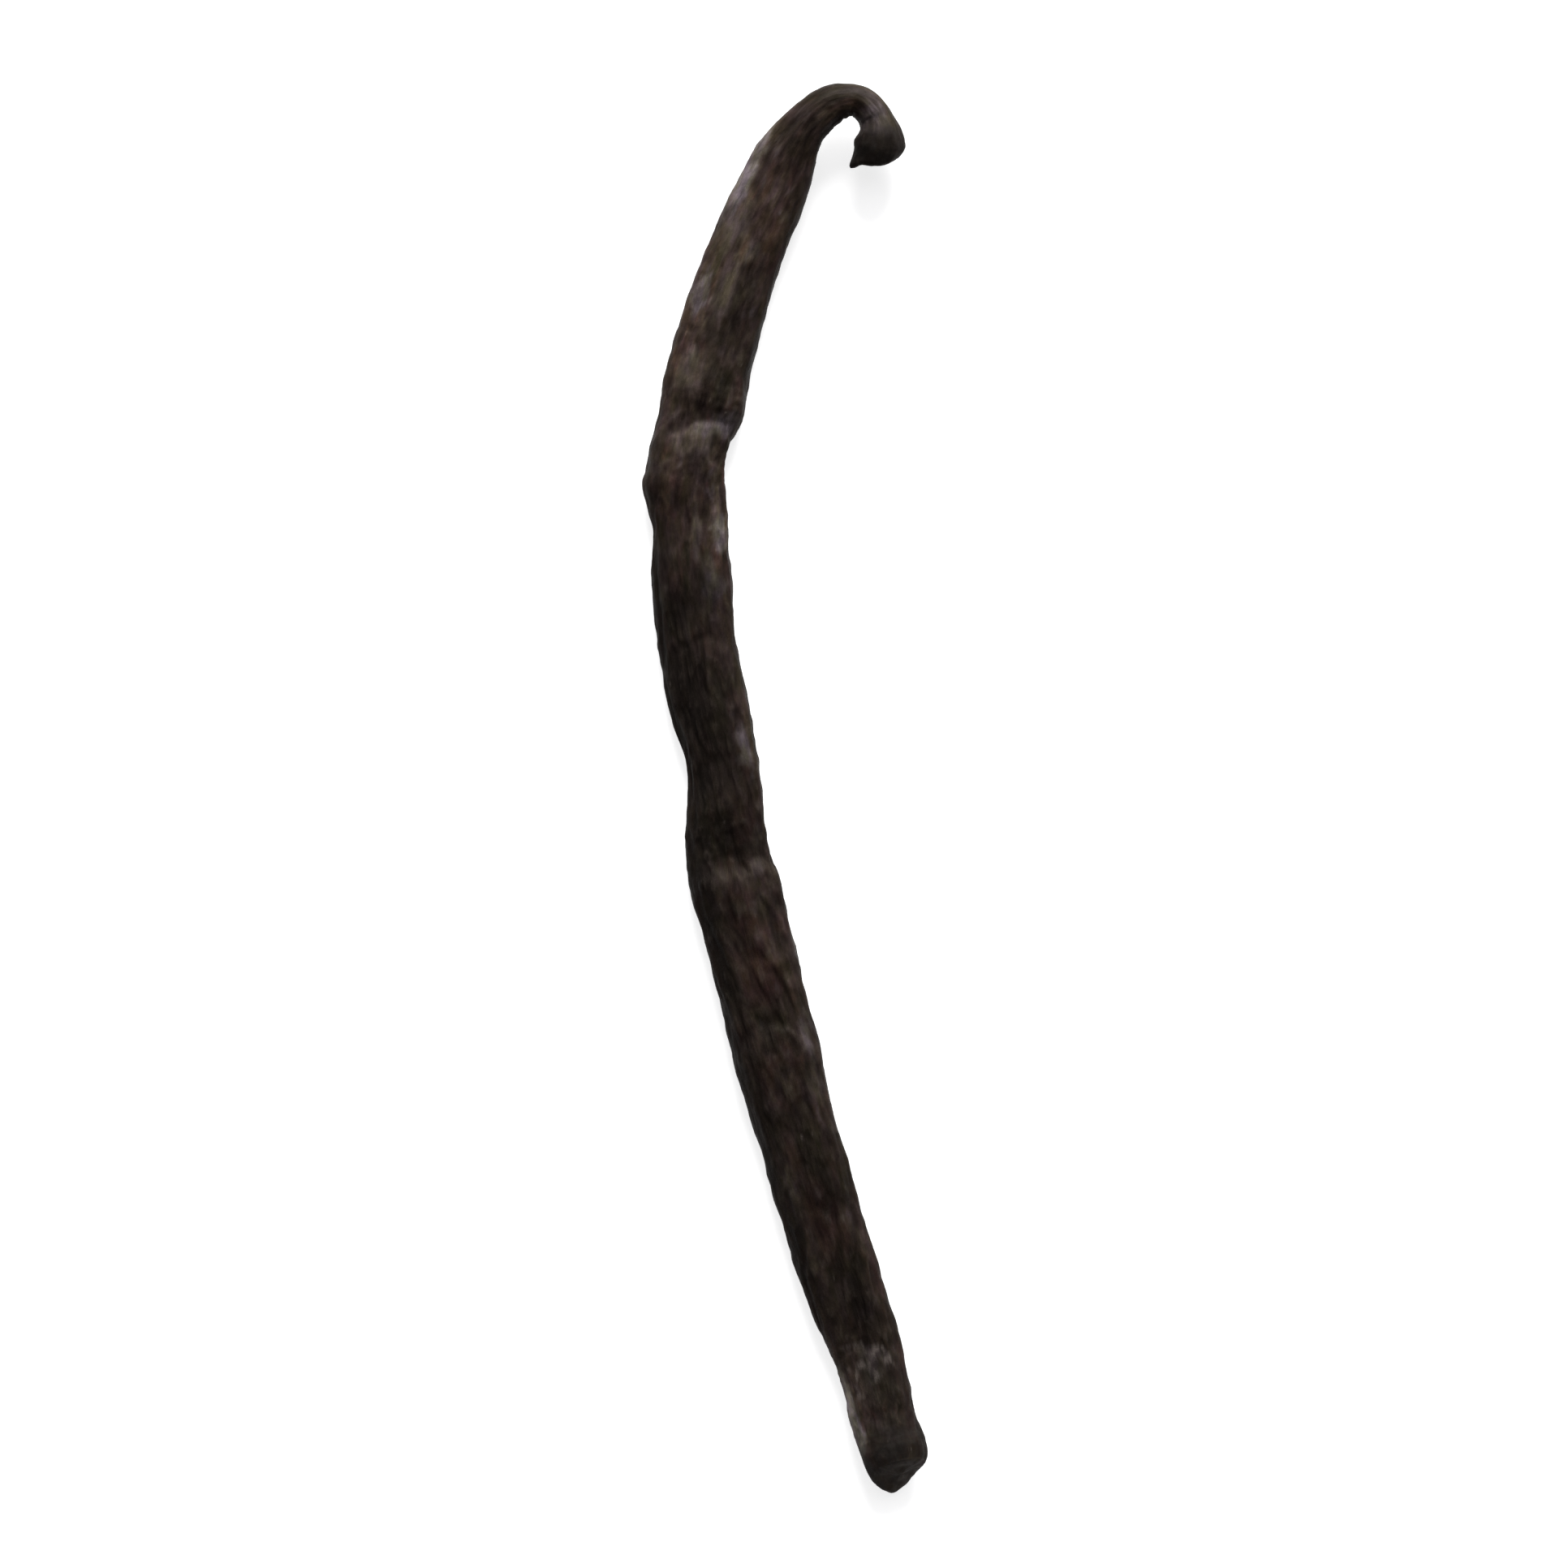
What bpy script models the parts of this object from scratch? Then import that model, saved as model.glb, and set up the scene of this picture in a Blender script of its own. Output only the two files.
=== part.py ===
"""Cured vanilla pod, lying on a flat surface.

One closed solid: a flattened, wrinkled pod about 16 cm long along its own
curve.  It lies along Y with the hooked stem end at +Y and the cut-looking
blossom end at -Y.  +X is to the right seen from above, +Z is up, and the pod
rests on z = 0 on a few small flats on its underside.

The body is a loft along one smooth route.  Each section is a flattened
superellipse with broad lengthwise ridges, and named pinches, knuckles and
creases push its skin in or out.
"""

import math

import bmesh
import bpy
import numpy as np

MM = 0.001

# ---------------------------------------------------------------- dimensions
# Stations along the pod, all in millimetres:
#   x, y        centre of the section, seen from above
#   lift        height of the underside above the surface it lies on
#   width       across the pod, seen from above
#   thick       from underside to top
STATIONS = (
    #   x      y     lift  width thick
    (9.72, 65.50, 1.00, 4.60, 4.00),    # torn face of the stem
    (10.16, 68.15, 1.20, 5.34, 4.40),   # stem knob
    (9.70, 70.65, 1.70, 3.70, 3.50),    # neck of the hook
    (7.70, 72.55, 2.15, 3.35, 3.40),    # crown of the hook
    (5.05, 72.08, 2.05, 4.25, 3.70),
    (2.72, 70.20, 1.60, 4.85, 4.10),    # shoulder
    (-0.30, 65.20, 0.75, 7.45, 4.50),
    (-4.00, 56.40, 0.05, 8.45, 4.60),   # upper limb
    (-7.55, 45.60, -0.14, 9.05, 4.60),
    (-9.70, 35.00, 0.55, 9.30, 4.50),   # knee, where the pod once folded
    (-10.15, 25.20, 0.05, 9.05, 4.30),
    (-8.60, 11.80, -0.12, 8.90, 4.20),
    (-6.25, -1.80, 0.34, 8.95, 4.15),
    (-4.70, -12.60, -0.14, 10.00, 4.70),
    (-1.60, -25.40, 0.06, 9.50, 4.70),  # fullest part
    (3.10, -42.20, -0.13, 8.95, 4.40),
    (7.60, -57.40, -0.08, 8.60, 4.20),
    (10.25, -66.00, 0.40, 7.50, 4.50),  # waist before the blossom end
    (12.18, -72.80, 0.75, 6.55, 4.90),  # rim of the blossom end
)

SECTION_POWER = 2.35        # 2 is an ellipse, more is boxier
SECTION_POWER_ENDS = 2.05   # the stem and the blossom end are rounder

# Lengthwise ridges: how many round the pod, height, turns along the pod
RIDGES = (
    (3, 0.16, 0.35),
    (5, 0.13, -0.55),
    (7, 0.09, 0.80),
)

# Pinches and swellings: distance along the pod from the stem face, direction
# round the section (0 right side, 90 top, 180 left side), depth (negative is
# a swelling), half-length along the pod, half-spread round it in degrees
PINCHES = (
    (15.3, 180.0, -0.18, 2.6, 40.0),    # outer side of the shoulder
    (16.5, 350.0, 0.25, 2.5, 40.0),
    (26.0, 180.0, -0.16, 3.0, 40.0),
    (30.5, 0.0, 0.24, 2.2, 40.0),
    (48.6, 95.0, 0.50, 1.3, 62.0),      # valley above the knee
    (52.0, 100.0, -0.38, 2.0, 60.0),    # knuckle of the knee
    (51.7, 2.0, 1.08, 2.0, 46.0),       # notch on the inside of the knee
    (55.4, 180.0, -0.40, 1.8, 40.0),    # outer corner of the knee
    (55.4, 0.0, 0.46, 2.7, 44.0),
    (60.6, 180.0, 0.66, 2.0, 48.0),
    (52.0, 270.0, 0.40, 2.4, 60.0),     # fold under the knee
    (47.3, 6.0, -0.50, 1.9, 40.0),      # inner corner of the knee
    (66.8, 0.0, -0.20, 2.2, 40.0),
    (73.0, 0.0, 0.38, 3.2, 44.0),
    (84.4, 180.0, 0.80, 2.7, 50.0),
    (92.4, 2.0, 0.56, 3.4, 46.0),
    (95.2, 180.0, -0.56, 3.2, 42.0),
    (92.6, 90.0, 0.36, 1.3, 66.0),      # crease across the middle
    (106.0, 180.0, 0.40, 4.0, 44.0),
    (93.5, 275.0, 0.28, 2.2, 60.0),
    (112.0, 80.0, 0.26, 2.6, 50.0),
    (116.0, 0.0, -0.22, 3.2, 40.0),
    (123.6, 0.0, 0.46, 3.4, 40.0),
    (123.0, 180.0, -0.16, 4.6, 40.0),
    (135.2, 0.0, 0.16, 2.2, 40.0),
    (149.7, 180.0, 0.92, 3.0, 50.0),    # waist, left side
    (152.6, 0.0, 0.16, 2.2, 50.0),
    (160.8, 0.0, -0.30, 1.7, 40.0),     # right corner of the blossom end
    (156.6, 0.0, 0.24, 1.8, 50.0),      # waist, right side
    (161.6, 318.0, 0.46, 2.6, 24.0),    # flats under the blossom end
    (161.6, 224.0, 0.46, 2.6, 24.0),
)

END_SLANT = 1.9             # how far the blossom face leans back at its top
END_SLANT_REACH = 9.0       # length over which the skin shears into that lean
END_DISH = 0.45             # depth of the scar in the blossom face
STEM_DISH = 0.55            # depth of the scar in the stem face
LIP = 0.70                  # torn point on the rim of the stem face
LIP_OUT = 0.50              # how far that point leans outwards
STEM_BEVEL = 1.70           # how far the outer side of the stem rim is cut back
CHIN = 1.90                 # how far the lower lip of the blossom end sticks out
CHIN_SIDE = 236.0           # where on the rim that lip is, in degrees

SIDES = 26                  # points round a section
RING_STEP = 1.30            # usual distance between sections
RING_STEP_FINE = 0.80       # distance between sections in the hook and knees
FINE_ZONES = ((0.0, 15.0), (46.5, 56.0), (90.0, 95.0), (156.0, 164.0))


# ---------------------------------------------------------------- route
def spline(knots, values):
    """Natural cubic spline through the values at the knots."""
    knots = np.asarray(knots, float)
    values = np.asarray(values, float)
    n = len(knots)
    gap = np.diff(knots)
    system = np.zeros((n, n))
    right = np.zeros(n)
    system[0, 0] = system[-1, -1] = 1.0
    for i in range(1, n - 1):
        system[i, i - 1] = gap[i - 1]
        system[i, i] = 2.0 * (gap[i - 1] + gap[i])
        system[i, i + 1] = gap[i]
        right[i] = 6.0 * ((values[i + 1] - values[i]) / gap[i]
                          - (values[i] - values[i - 1]) / gap[i - 1])
    bend = np.linalg.solve(system, right)

    def at(u):
        u = np.asarray(u, float)
        i = np.clip(np.searchsorted(knots, u) - 1, 0, n - 2)
        a = knots[i + 1] - u
        b = u - knots[i]
        h = gap[i]
        return ((bend[i] * a ** 3 + bend[i + 1] * b ** 3) / (6.0 * h)
                + (values[i] / h - bend[i] * h / 6.0) * a
                + (values[i + 1] / h - bend[i + 1] * h / 6.0) * b)

    return at


def gentle(knots, values):
    """Cubic through the values that doesn't swing past them."""
    knots = np.asarray(knots, float)
    values = np.asarray(values, float)
    gap = np.diff(knots)
    rise = np.diff(values) / gap
    slope = np.zeros(len(knots))
    for i in range(1, len(knots) - 1):
        if rise[i - 1] * rise[i] > 0.0:
            w1 = 2.0 * gap[i] + gap[i - 1]
            w2 = gap[i] + 2.0 * gap[i - 1]
            slope[i] = (w1 + w2) / (w1 / rise[i - 1] + w2 / rise[i])
    slope[0], slope[-1] = rise[0], rise[-1]

    def at(u):
        u = np.asarray(u, float)
        i = np.clip(np.searchsorted(knots, u) - 1, 0, len(knots) - 2)
        h = gap[i]
        t = (u - knots[i]) / h
        return ((1 + 2 * t) * (1 - t) ** 2 * values[i]
                + t * (1 - t) ** 2 * h * slope[i]
                + t * t * (3 - 2 * t) * values[i + 1]
                + t * t * (t - 1) * h * slope[i + 1])

    return at


class Route:
    """Centre line, size and axes of the section at any distance."""

    def __init__(self, stations):
        x, y, lift, width, thick = np.array(stations, float).T
        height = lift + thick / 2.0
        chord = np.r_[0.0, np.cumsum(np.sqrt(
            np.diff(x) ** 2 + np.diff(y) ** 2 + np.diff(height) ** 2))]
        fx, fy = spline(chord, x), spline(chord, y)
        fz = gentle(chord, height)
        # turn the chord parameter into true distance along the curve
        u = np.linspace(0.0, chord[-1], 6001)
        step = np.sqrt(np.diff(fx(u)) ** 2 + np.diff(fy(u)) ** 2
                       + np.diff(fz(u)) ** 2)
        run = np.r_[0.0, np.cumsum(step)]
        self.length = float(run[-1])
        self.knots = np.interp(chord, u, run)
        self.where = lambda s: np.interp(s, run, u)
        self.fx, self.fy, self.fz = fx, fy, fz
        self.fw = gentle(self.knots, width)
        self.ft = gentle(self.knots, thick)
        self.lift = gentle(self.knots, lift)

    def centre(self, s):
        u = self.where(np.clip(s, 0.0, self.length))
        return np.stack([self.fx(u), self.fy(u), self.fz(u)], -1)

    def axes(self, s):
        """Along, side (level) and up directions of the section."""
        e = 0.05
        along = self.centre(s + e) - self.centre(s - e)
        along /= np.linalg.norm(along, axis=-1, keepdims=True)
        side = np.cross([0.0, 0.0, 1.0], along)
        side /= np.linalg.norm(side, axis=-1, keepdims=True)
        return along, side, np.cross(along, side)


def bump(x):
    """Smooth hill: 1 at 0, about 0.6 at 1, nearly 0 past 3."""
    return np.exp(-0.5 * x * x)


def smooth(a, b, x):
    t = np.clip((x - a) / (b - a), 0.0, 1.0)
    return t * t * (3.0 - 2.0 * t)


def turn_between(theta, angle):
    """Signed angle from a direction, in degrees, -180 to 180."""
    return (np.degrees(theta) - angle + 180.0) % 360.0 - 180.0


def section(route, s, theta):
    """Skin point (mm) at distance s and direction theta of the section."""
    length = route.length
    body = smooth(4.0, 26.0, s) * (1.0 - smooth(length - 16, length - 4, s))
    power = SECTION_POWER_ENDS + (SECTION_POWER - SECTION_POWER_ENDS) * body
    half_w = route.fw(s) / 2.0
    half_t = route.ft(s) / 2.0
    c, k = np.cos(theta), np.sin(theta)
    a = half_w * np.sign(c) * np.abs(c) ** (2.0 / power)
    b = half_t * np.sign(k) * np.abs(k) ** (2.0 / power)

    # skin moves along the outward direction of the plain section
    out_a, out_b = c / half_w, k / half_t
    norm = np.hypot(out_a, out_b)
    out_a, out_b = out_a / norm, out_b / norm
    move = np.zeros_like(a)
    for count, height, turns in RIDGES:
        phase = 2.0 * math.pi * turns * s / length + count * 0.9
        move += height * (np.cos(count * theta + phase) - 1.0) * body * 0.5
    for at, angle, depth, reach, spread in PINCHES:
        move -= (depth * bump((s - at) / reach)
                 * bump(turn_between(theta, angle) / spread))
    a = a + out_a * move
    b = b + out_b * move

    centre = route.centre(s)
    along, side, up = route.axes(s)
    point = centre + side * a[..., None] + up * b[..., None]

    # the skin shears into the lean of the blossom face
    lean = smooth(length - END_SLANT_REACH, length, s)
    back = END_SLANT * lean * np.clip((b / half_t + 1.0) / 2.0, 0.0, 1.0)
    return point - along * back[..., None]


def drop(route, s, samples=72):
    """How far a section moves down, so that its underside has its lift."""
    theta = np.arange(samples) * 2.0 * math.pi / samples
    lowest = section(route, np.full(samples, s), theta)[:, 2].min()
    return lowest - route.lift(s)


# ---------------------------------------------------------------- solid
def ring_places(length):
    places = [0.0]
    while places[-1] < length:
        s = places[-1]
        fine = any(lo <= s <= hi for lo, hi in FINE_ZONES)
        places.append(s + (RING_STEP_FINE if fine else RING_STEP))
    places = np.array(places)
    return places * length / places[-1]


def build_pod():
    route = Route(STATIONS)
    theta = np.arange(SIDES) * 2.0 * math.pi / SIDES
    rings = []
    for s in ring_places(route.length):
        ring = section(route, np.full(SIDES, s), theta)
        rings.append(ring - [0.0, 0.0, drop(route, s)])

    # stem rim: a torn lip on its inner side, its outer side cut back
    along0, side0, _ = (axis[0] for axis in route.axes(np.array([0.0])))
    torn = bump(turn_between(theta, 8.0) / 20.0)
    for i, share in ((0, 1.0), (1, 0.60), (2, 0.30), (3, 0.10)):
        cut = STEM_BEVEL * share * bump(turn_between(theta, 180.0) / 46.0)
        point = torn * share ** 3
        rings[i] = (rings[i] + along0 * (cut - LIP * point)[:, None]
                    + side0 * (LIP_OUT * point)[:, None])

    # blossom rim: its lower lip sticks out to a blunt chin
    along1 = route.axes(np.array([route.length]))[0][0]
    for i, share in ((-1, 1.0), (-2, 0.62), (-3, 0.30), (-4, 0.10)):
        chin = CHIN * share * bump(turn_between(theta, CHIN_SIDE) / 38.0)
        rings[i] = rings[i] + along1 * chin[:, None]

    # end faces: rings shrink to the middle, sunk into a shallow scar
    def face_rings(rim, outward, dish):
        middle = rim.mean(axis=0)
        made = []
        for share, depth in ((0.80, -0.10), (0.50, 0.75), (0.22, 1.0)):
            made.append(middle + (rim - middle) * share
                        - outward * dish * depth)
        return made, middle - outward * dish * 0.9

    rim = rings[-1]
    across = rim[0] - rim[SIDES // 2]
    upward = rim[SIDES // 4] - rim[3 * SIDES // 4]
    outward = np.cross(upward, across)
    outward /= np.linalg.norm(outward)
    if np.dot(outward, along1) < 0.0:
        outward = -outward
    stem_rings, stem_tip = face_rings(rings[0], -along0, STEM_DISH)
    end_rings, end_tip = face_rings(rings[-1], outward, END_DISH)

    loops = stem_rings[::-1] + rings + end_rings

    # the origin is the middle of the pod's box, on the surface it lies on
    cloud = np.concatenate(loops)
    middle = (cloud.min(axis=0) + cloud.max(axis=0)) / 2.0
    shift = np.array([middle[0], middle[1], 0.0])
    loops = [loop - shift for loop in loops]
    stem_tip, end_tip = stem_tip - shift, end_tip - shift

    mesh = bpy.data.meshes.new("vanilla_pod")
    bm = bmesh.new()

    def add(point):
        return bm.verts.new((point[0] * MM, point[1] * MM,
                             max(point[2], 0.0) * MM))

    first = add(stem_tip)
    made = [[add(p) for p in loop] for loop in loops]
    last = add(end_tip)
    for j in range(SIDES):
        k = (j + 1) % SIDES
        bm.faces.new((first, made[0][k], made[0][j]))
        for lower, upper in zip(made, made[1:]):
            bm.faces.new((lower[j], lower[k], upper[k], upper[j]))
        bm.faces.new((last, made[-1][j], made[-1][k]))
    bmesh.ops.triangulate(bm, faces=bm.faces[:])
    bmesh.ops.recalc_face_normals(bm, faces=bm.faces[:])
    bm.to_mesh(mesh)
    bm.free()
    mesh.shade_smooth()
    return mesh


def pod_material():
    material = bpy.data.materials.new("cured_skin")
    material.use_nodes = True
    shader = material.node_tree.nodes["Principled BSDF"]
    shader.inputs["Base Color"].default_value = (0.024, 0.017, 0.014, 1.0)
    shader.inputs["Roughness"].default_value = 0.48
    shader.inputs["Metallic"].default_value = 0.0
    return material


def main():
    for item in list(bpy.data.objects):
        bpy.data.objects.remove(item, do_unlink=True)
    collection = bpy.data.collections.new("vanilla_pod")
    bpy.context.scene.collection.children.link(collection)
    pod = bpy.data.objects.new("vanilla_pod", build_pod())
    pod.data.materials.append(pod_material())
    collection.objects.link(pod)


main()
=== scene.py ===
"""Looks of the cured vanilla pod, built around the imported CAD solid.

The CAD solid gives the route, the sections and the resting flats.  Here the
same route and sections carry a fine skin: long folds that meet and fork,
finer wrinkles between them, cross creases at the knees, puckered stem and
blossom ends.  Everything is computed from named sizes; nothing is random
between runs.
"""

import math

import bpy
import numpy as np
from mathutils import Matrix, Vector


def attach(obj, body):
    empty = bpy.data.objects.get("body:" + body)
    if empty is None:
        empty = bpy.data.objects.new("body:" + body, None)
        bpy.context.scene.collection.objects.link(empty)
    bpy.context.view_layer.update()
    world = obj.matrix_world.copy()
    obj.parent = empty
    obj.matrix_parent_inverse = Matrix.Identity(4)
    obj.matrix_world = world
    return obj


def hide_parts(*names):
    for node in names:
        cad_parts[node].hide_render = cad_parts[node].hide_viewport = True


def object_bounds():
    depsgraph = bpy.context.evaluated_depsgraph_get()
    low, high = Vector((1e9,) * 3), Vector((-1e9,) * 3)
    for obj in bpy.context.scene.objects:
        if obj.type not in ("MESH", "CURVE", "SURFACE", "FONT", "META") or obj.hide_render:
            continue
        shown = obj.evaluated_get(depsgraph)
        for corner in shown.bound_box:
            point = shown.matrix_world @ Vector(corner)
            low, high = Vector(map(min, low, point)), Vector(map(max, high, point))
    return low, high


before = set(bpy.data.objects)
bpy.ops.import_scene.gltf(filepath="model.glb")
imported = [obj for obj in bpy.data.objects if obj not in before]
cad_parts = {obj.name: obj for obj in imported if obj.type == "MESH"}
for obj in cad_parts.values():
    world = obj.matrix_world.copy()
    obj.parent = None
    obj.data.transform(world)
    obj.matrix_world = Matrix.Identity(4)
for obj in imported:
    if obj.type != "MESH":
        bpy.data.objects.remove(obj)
cad_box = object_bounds()

MM = 0.001

# ---------------------------------------------------------------- the CAD form
# The same stations, ridges and pinches as the CAD solid, in millimetres,
# but for the crease across the middle, which lies 2.4 mm further along here.
STATIONS = (
    #   x      y     lift  width thick
    (9.72, 65.50, 1.00, 4.60, 4.00),
    (10.16, 68.15, 1.20, 5.34, 4.40),
    (9.70, 70.65, 1.70, 3.70, 3.50),
    (7.70, 72.55, 2.15, 3.35, 3.40),
    (5.05, 72.08, 2.05, 4.25, 3.70),
    (2.72, 70.20, 1.60, 4.85, 4.10),
    (-0.30, 65.20, 0.75, 7.45, 4.50),
    (-4.00, 56.40, 0.05, 8.45, 4.60),
    (-7.55, 45.60, -0.14, 9.05, 4.60),
    (-9.70, 35.00, 0.55, 9.30, 4.50),
    (-10.15, 25.20, 0.05, 9.05, 4.30),
    (-8.60, 11.80, -0.12, 8.90, 4.20),
    (-6.25, -1.80, 0.34, 8.95, 4.15),
    (-4.70, -12.60, -0.14, 10.00, 4.70),
    (-1.60, -25.40, 0.06, 9.50, 4.70),
    (3.10, -42.20, -0.13, 8.95, 4.40),
    (7.60, -57.40, -0.08, 8.60, 4.20),
    (10.25, -66.00, 0.40, 7.50, 4.50),
    (12.18, -72.80, 0.75, 6.55, 4.90),
)
SECTION_POWER = 2.35
SECTION_POWER_ENDS = 2.05
RIDGES = (
    (3, 0.16, 0.35),
    (5, 0.13, -0.55),
    (7, 0.09, 0.80),
)
PINCHES = (
    (15.3, 180.0, -0.18, 2.6, 40.0),
    (16.5, 350.0, 0.25, 2.5, 40.0),
    (26.0, 180.0, -0.16, 3.0, 40.0),
    (30.5, 0.0, 0.24, 2.2, 40.0),
    (48.6, 95.0, 0.50, 1.3, 62.0),
    (52.0, 100.0, -0.38, 2.0, 60.0),
    (51.7, 2.0, 1.08, 2.0, 46.0),
    (55.4, 180.0, -0.40, 1.8, 40.0),
    (55.4, 0.0, 0.46, 2.7, 44.0),
    (60.6, 180.0, 0.66, 2.0, 48.0),
    (52.0, 270.0, 0.40, 2.4, 60.0),
    (47.3, 6.0, -0.50, 1.9, 40.0),
    (66.8, 0.0, -0.20, 2.2, 40.0),
    (73.0, 0.0, 0.38, 3.2, 44.0),
    (84.4, 180.0, 0.80, 2.7, 50.0),
    (92.4, 2.0, 0.56, 3.4, 46.0),
    (95.2, 180.0, -0.56, 3.2, 42.0),
    (95.0, 86.0, 0.34, 1.3, 62.0),
    (106.0, 180.0, 0.40, 4.0, 44.0),
    (93.5, 275.0, 0.28, 2.2, 60.0),
    (112.0, 80.0, 0.26, 2.6, 50.0),
    (116.0, 0.0, -0.22, 3.2, 40.0),
    (123.6, 0.0, 0.46, 3.4, 40.0),
    (123.0, 180.0, -0.16, 4.6, 40.0),
    (135.2, 0.0, 0.16, 2.2, 40.0),
    (149.7, 180.0, 0.92, 3.0, 50.0),
    (152.6, 0.0, 0.16, 2.2, 50.0),
    (160.8, 0.0, -0.30, 1.7, 40.0),
    (156.6, 0.0, 0.24, 1.8, 50.0),
    (161.6, 318.0, 0.46, 2.6, 24.0),
    (161.6, 224.0, 0.46, 2.6, 24.0),
)
END_SLANT = 1.9
END_SLANT_REACH = 9.0
LIP_OUT = 0.50
STEM_BEVEL = 1.70
LIP = 0.70
CHIN = 1.90
CHIN_SIDE = 236.0

# ---------------------------------------------------------------- fine skin
SIDES = 192                 # points round a section
RINGS = 488                 # sections along the pod
CAP_SHARES = (0.975, 0.94, 0.89, 0.82, 0.73, 0.62, 0.50, 0.38, 0.26, 0.13)
CAP_RINGS = len(CAP_SHARES)  # rings in each end face

# Wrinkles of the skin, coarse to fine: how many round the pod, how unequal
# their widths are, length (mm), depth (mm), sharpness of the grooves
WRINKLES = (
    (8, 0.40, 6.5, 0.31, 2.3, 11),
    (16, 0.42, 3.2, 0.165, 2.0, 23),
    (29, 0.42, 2.0, 0.075, 1.9, 31),
    (52, 0.36, 1.5, 0.022, 1.8, 47),
)
# Cross creases: place, how far the line falls back at the sides, side where
# it is foremost, depth, reach above and below, middle angle, spread
CREASES = (
    (48.1, 2.1, 0.30, 0.27, 1.25, 0.55, 90.0, 46.0),
    (93.7, 2.7, 0.95, 0.13, 1.70, 0.60, 84.0, 50.0),
    (52.3, 1.4, 0.30, 0.10, 0.50, 0.34, 70.0, 40.0),
    (113.2, 1.8, -0.10, 0.24, 0.90, 0.30, 100.0, 36.0),
    (38.6, 1.0, -0.40, 0.20, 0.60, 0.30, 128.0, 34.0),
    (29.6, 0.9, 0.10, 0.12, 0.60, 0.30, 100.0, 36.0),
    (71.4, 1.2, 0.20, 0.14, 0.60, 0.34, 110.0, 32.0),
    (148.2, 1.6, -0.20, 0.22, 0.80, 0.30, 100.0, 50.0),
    (95.0, 1.0, 0.00, 0.26, 0.70, 0.40, 268.0, 64.0),
    (52.6, 1.6, 0.00, 0.36, 0.90, 0.40, 268.0, 66.0),
    (9.6, 0.6, -0.90, 0.30, 0.40, 0.26, 50.0, 60.0),
    (11.2, 0.6, -0.90, 0.20, 0.36, 0.24, 16.0, 56.0),
    (7.6, 0.5, -0.90, 0.22, 0.34, 0.24, 6.0, 56.0),
    (5.4, 0.4, 0.00, 0.18, 0.36, 0.30, 40.0, 60.0),
)


# ---------------------------------------------------------------- small maths
def bump(x):
    return np.exp(-0.5 * x * x)


def smooth(a, b, x):
    t = np.clip((x - a) / (b - a), 0.0, 1.0)
    return t * t * (3.0 - 2.0 * t)


def turn_between(theta, angle):
    return (np.degrees(theta) - angle + 180.0) % 360.0 - 180.0


def scramble(ix, iy, seed):
    """Repeatable numbers from 0 to 1 for whole-number places."""
    h = (ix.astype(np.int64) * 0x9E3779B1) ^ (iy.astype(np.int64) * 0x85EBCA77)
    h = (h ^ (seed * 0x27D4EB2F)) & 0xFFFFFFFF
    h = ((h ^ (h >> 15)) * 0x2C1B3C6D) & 0xFFFFFFFF
    h = ((h ^ (h >> 12)) * 0x297A2D39) & 0xFFFFFFFF
    h = (h ^ (h >> 15)) & 0xFFFFFFFF
    return h / 4294967296.0


def swell(x, y, period, seed):
    """Gradient noise, about -1 to 1, that closes on itself round the pod."""
    ix, iy = np.floor(x), np.floor(y)
    fx, fy = x - ix, y - iy
    ux = fx ** 3 * (fx * (fx * 6 - 15) + 10)
    uy = fy ** 3 * (fy * (fy * 6 - 15) + 10)
    total = np.zeros(np.broadcast(x, y).shape)
    for dx in (0, 1):
        for dy in (0, 1):
            angle = 2.0 * math.pi * scramble(ix + dx, (iy + dy) % period, seed)
            dot = np.cos(angle) * (fx - dx) + np.sin(angle) * (fy - dy)
            wx = ux if dx else 1.0 - ux
            wy = uy if dy else 1.0 - uy
            total = total + dot * wx * wy
    return total * 1.45


def layers(s, v, length, count, octaves, seed, fall=0.5):
    """Several sizes of swell, the first `length` mm long, `count` round."""
    total, size = 0.0, 1.0
    for k in range(octaves):
        total = total + size * swell(s / length * 2 ** k, v * count * 2 ** k,
                                     count * 2 ** k, seed + 7 * k)
        size *= fall
    return total


class Sheet:
    """The unrolled skin as a fine grid, for patterns made by filtering."""

    def __init__(self, length, along=1400, around=336, beyond=6.0):
        self.n, self.m, self.beyond = along, around, beyond
        self.span = length + 2.0 * beyond
        fs = np.fft.fftfreq(along, self.span / along)       # per mm
        fv = np.fft.fftfreq(around, 1.0 / around)           # per turn
        self.fs, self.fv = np.meshgrid(fs, fv, indexing="ij")

    def made(self, keep, seed):
        white = np.random.RandomState(seed).standard_normal((self.n, self.m))
        field = np.fft.ifft2(np.fft.fft2(white) * keep)
        return field / np.abs(field).mean()

    def strands(self, count, blur, reach, seed):
        """Waves across the skin whose lines wander, fork and end."""
        keep = (bump((self.fv - count) / (blur * count))
                * bump(2.0 * self.fs * reach) * (self.fv > 0))
        return self.made(keep, seed)

    def ripples(self, spacing, blur, reach, seed):
        """Waves along the skin, `reach` of a turn wide."""
        keep = (bump((self.fs * spacing - 1.0) / blur)
                * bump(2.0 * self.fv * reach) * (self.fs > 0))
        return self.made(keep, seed)

    def at(self, field, s, v):
        x = np.clip((s + self.beyond) / self.span * self.n, 0, self.n - 1.001)
        y = (v % 1.0) * self.m
        i, j = np.floor(x).astype(int), np.floor(y).astype(int)
        a, b = x - i, y - j
        j, k = j % self.m, (j + 1) % self.m
        return ((1 - a) * ((1 - b) * field[i, j] + b * field[i, k])
                + a * ((1 - b) * field[i + 1, j] + b * field[i + 1, k]))


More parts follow.
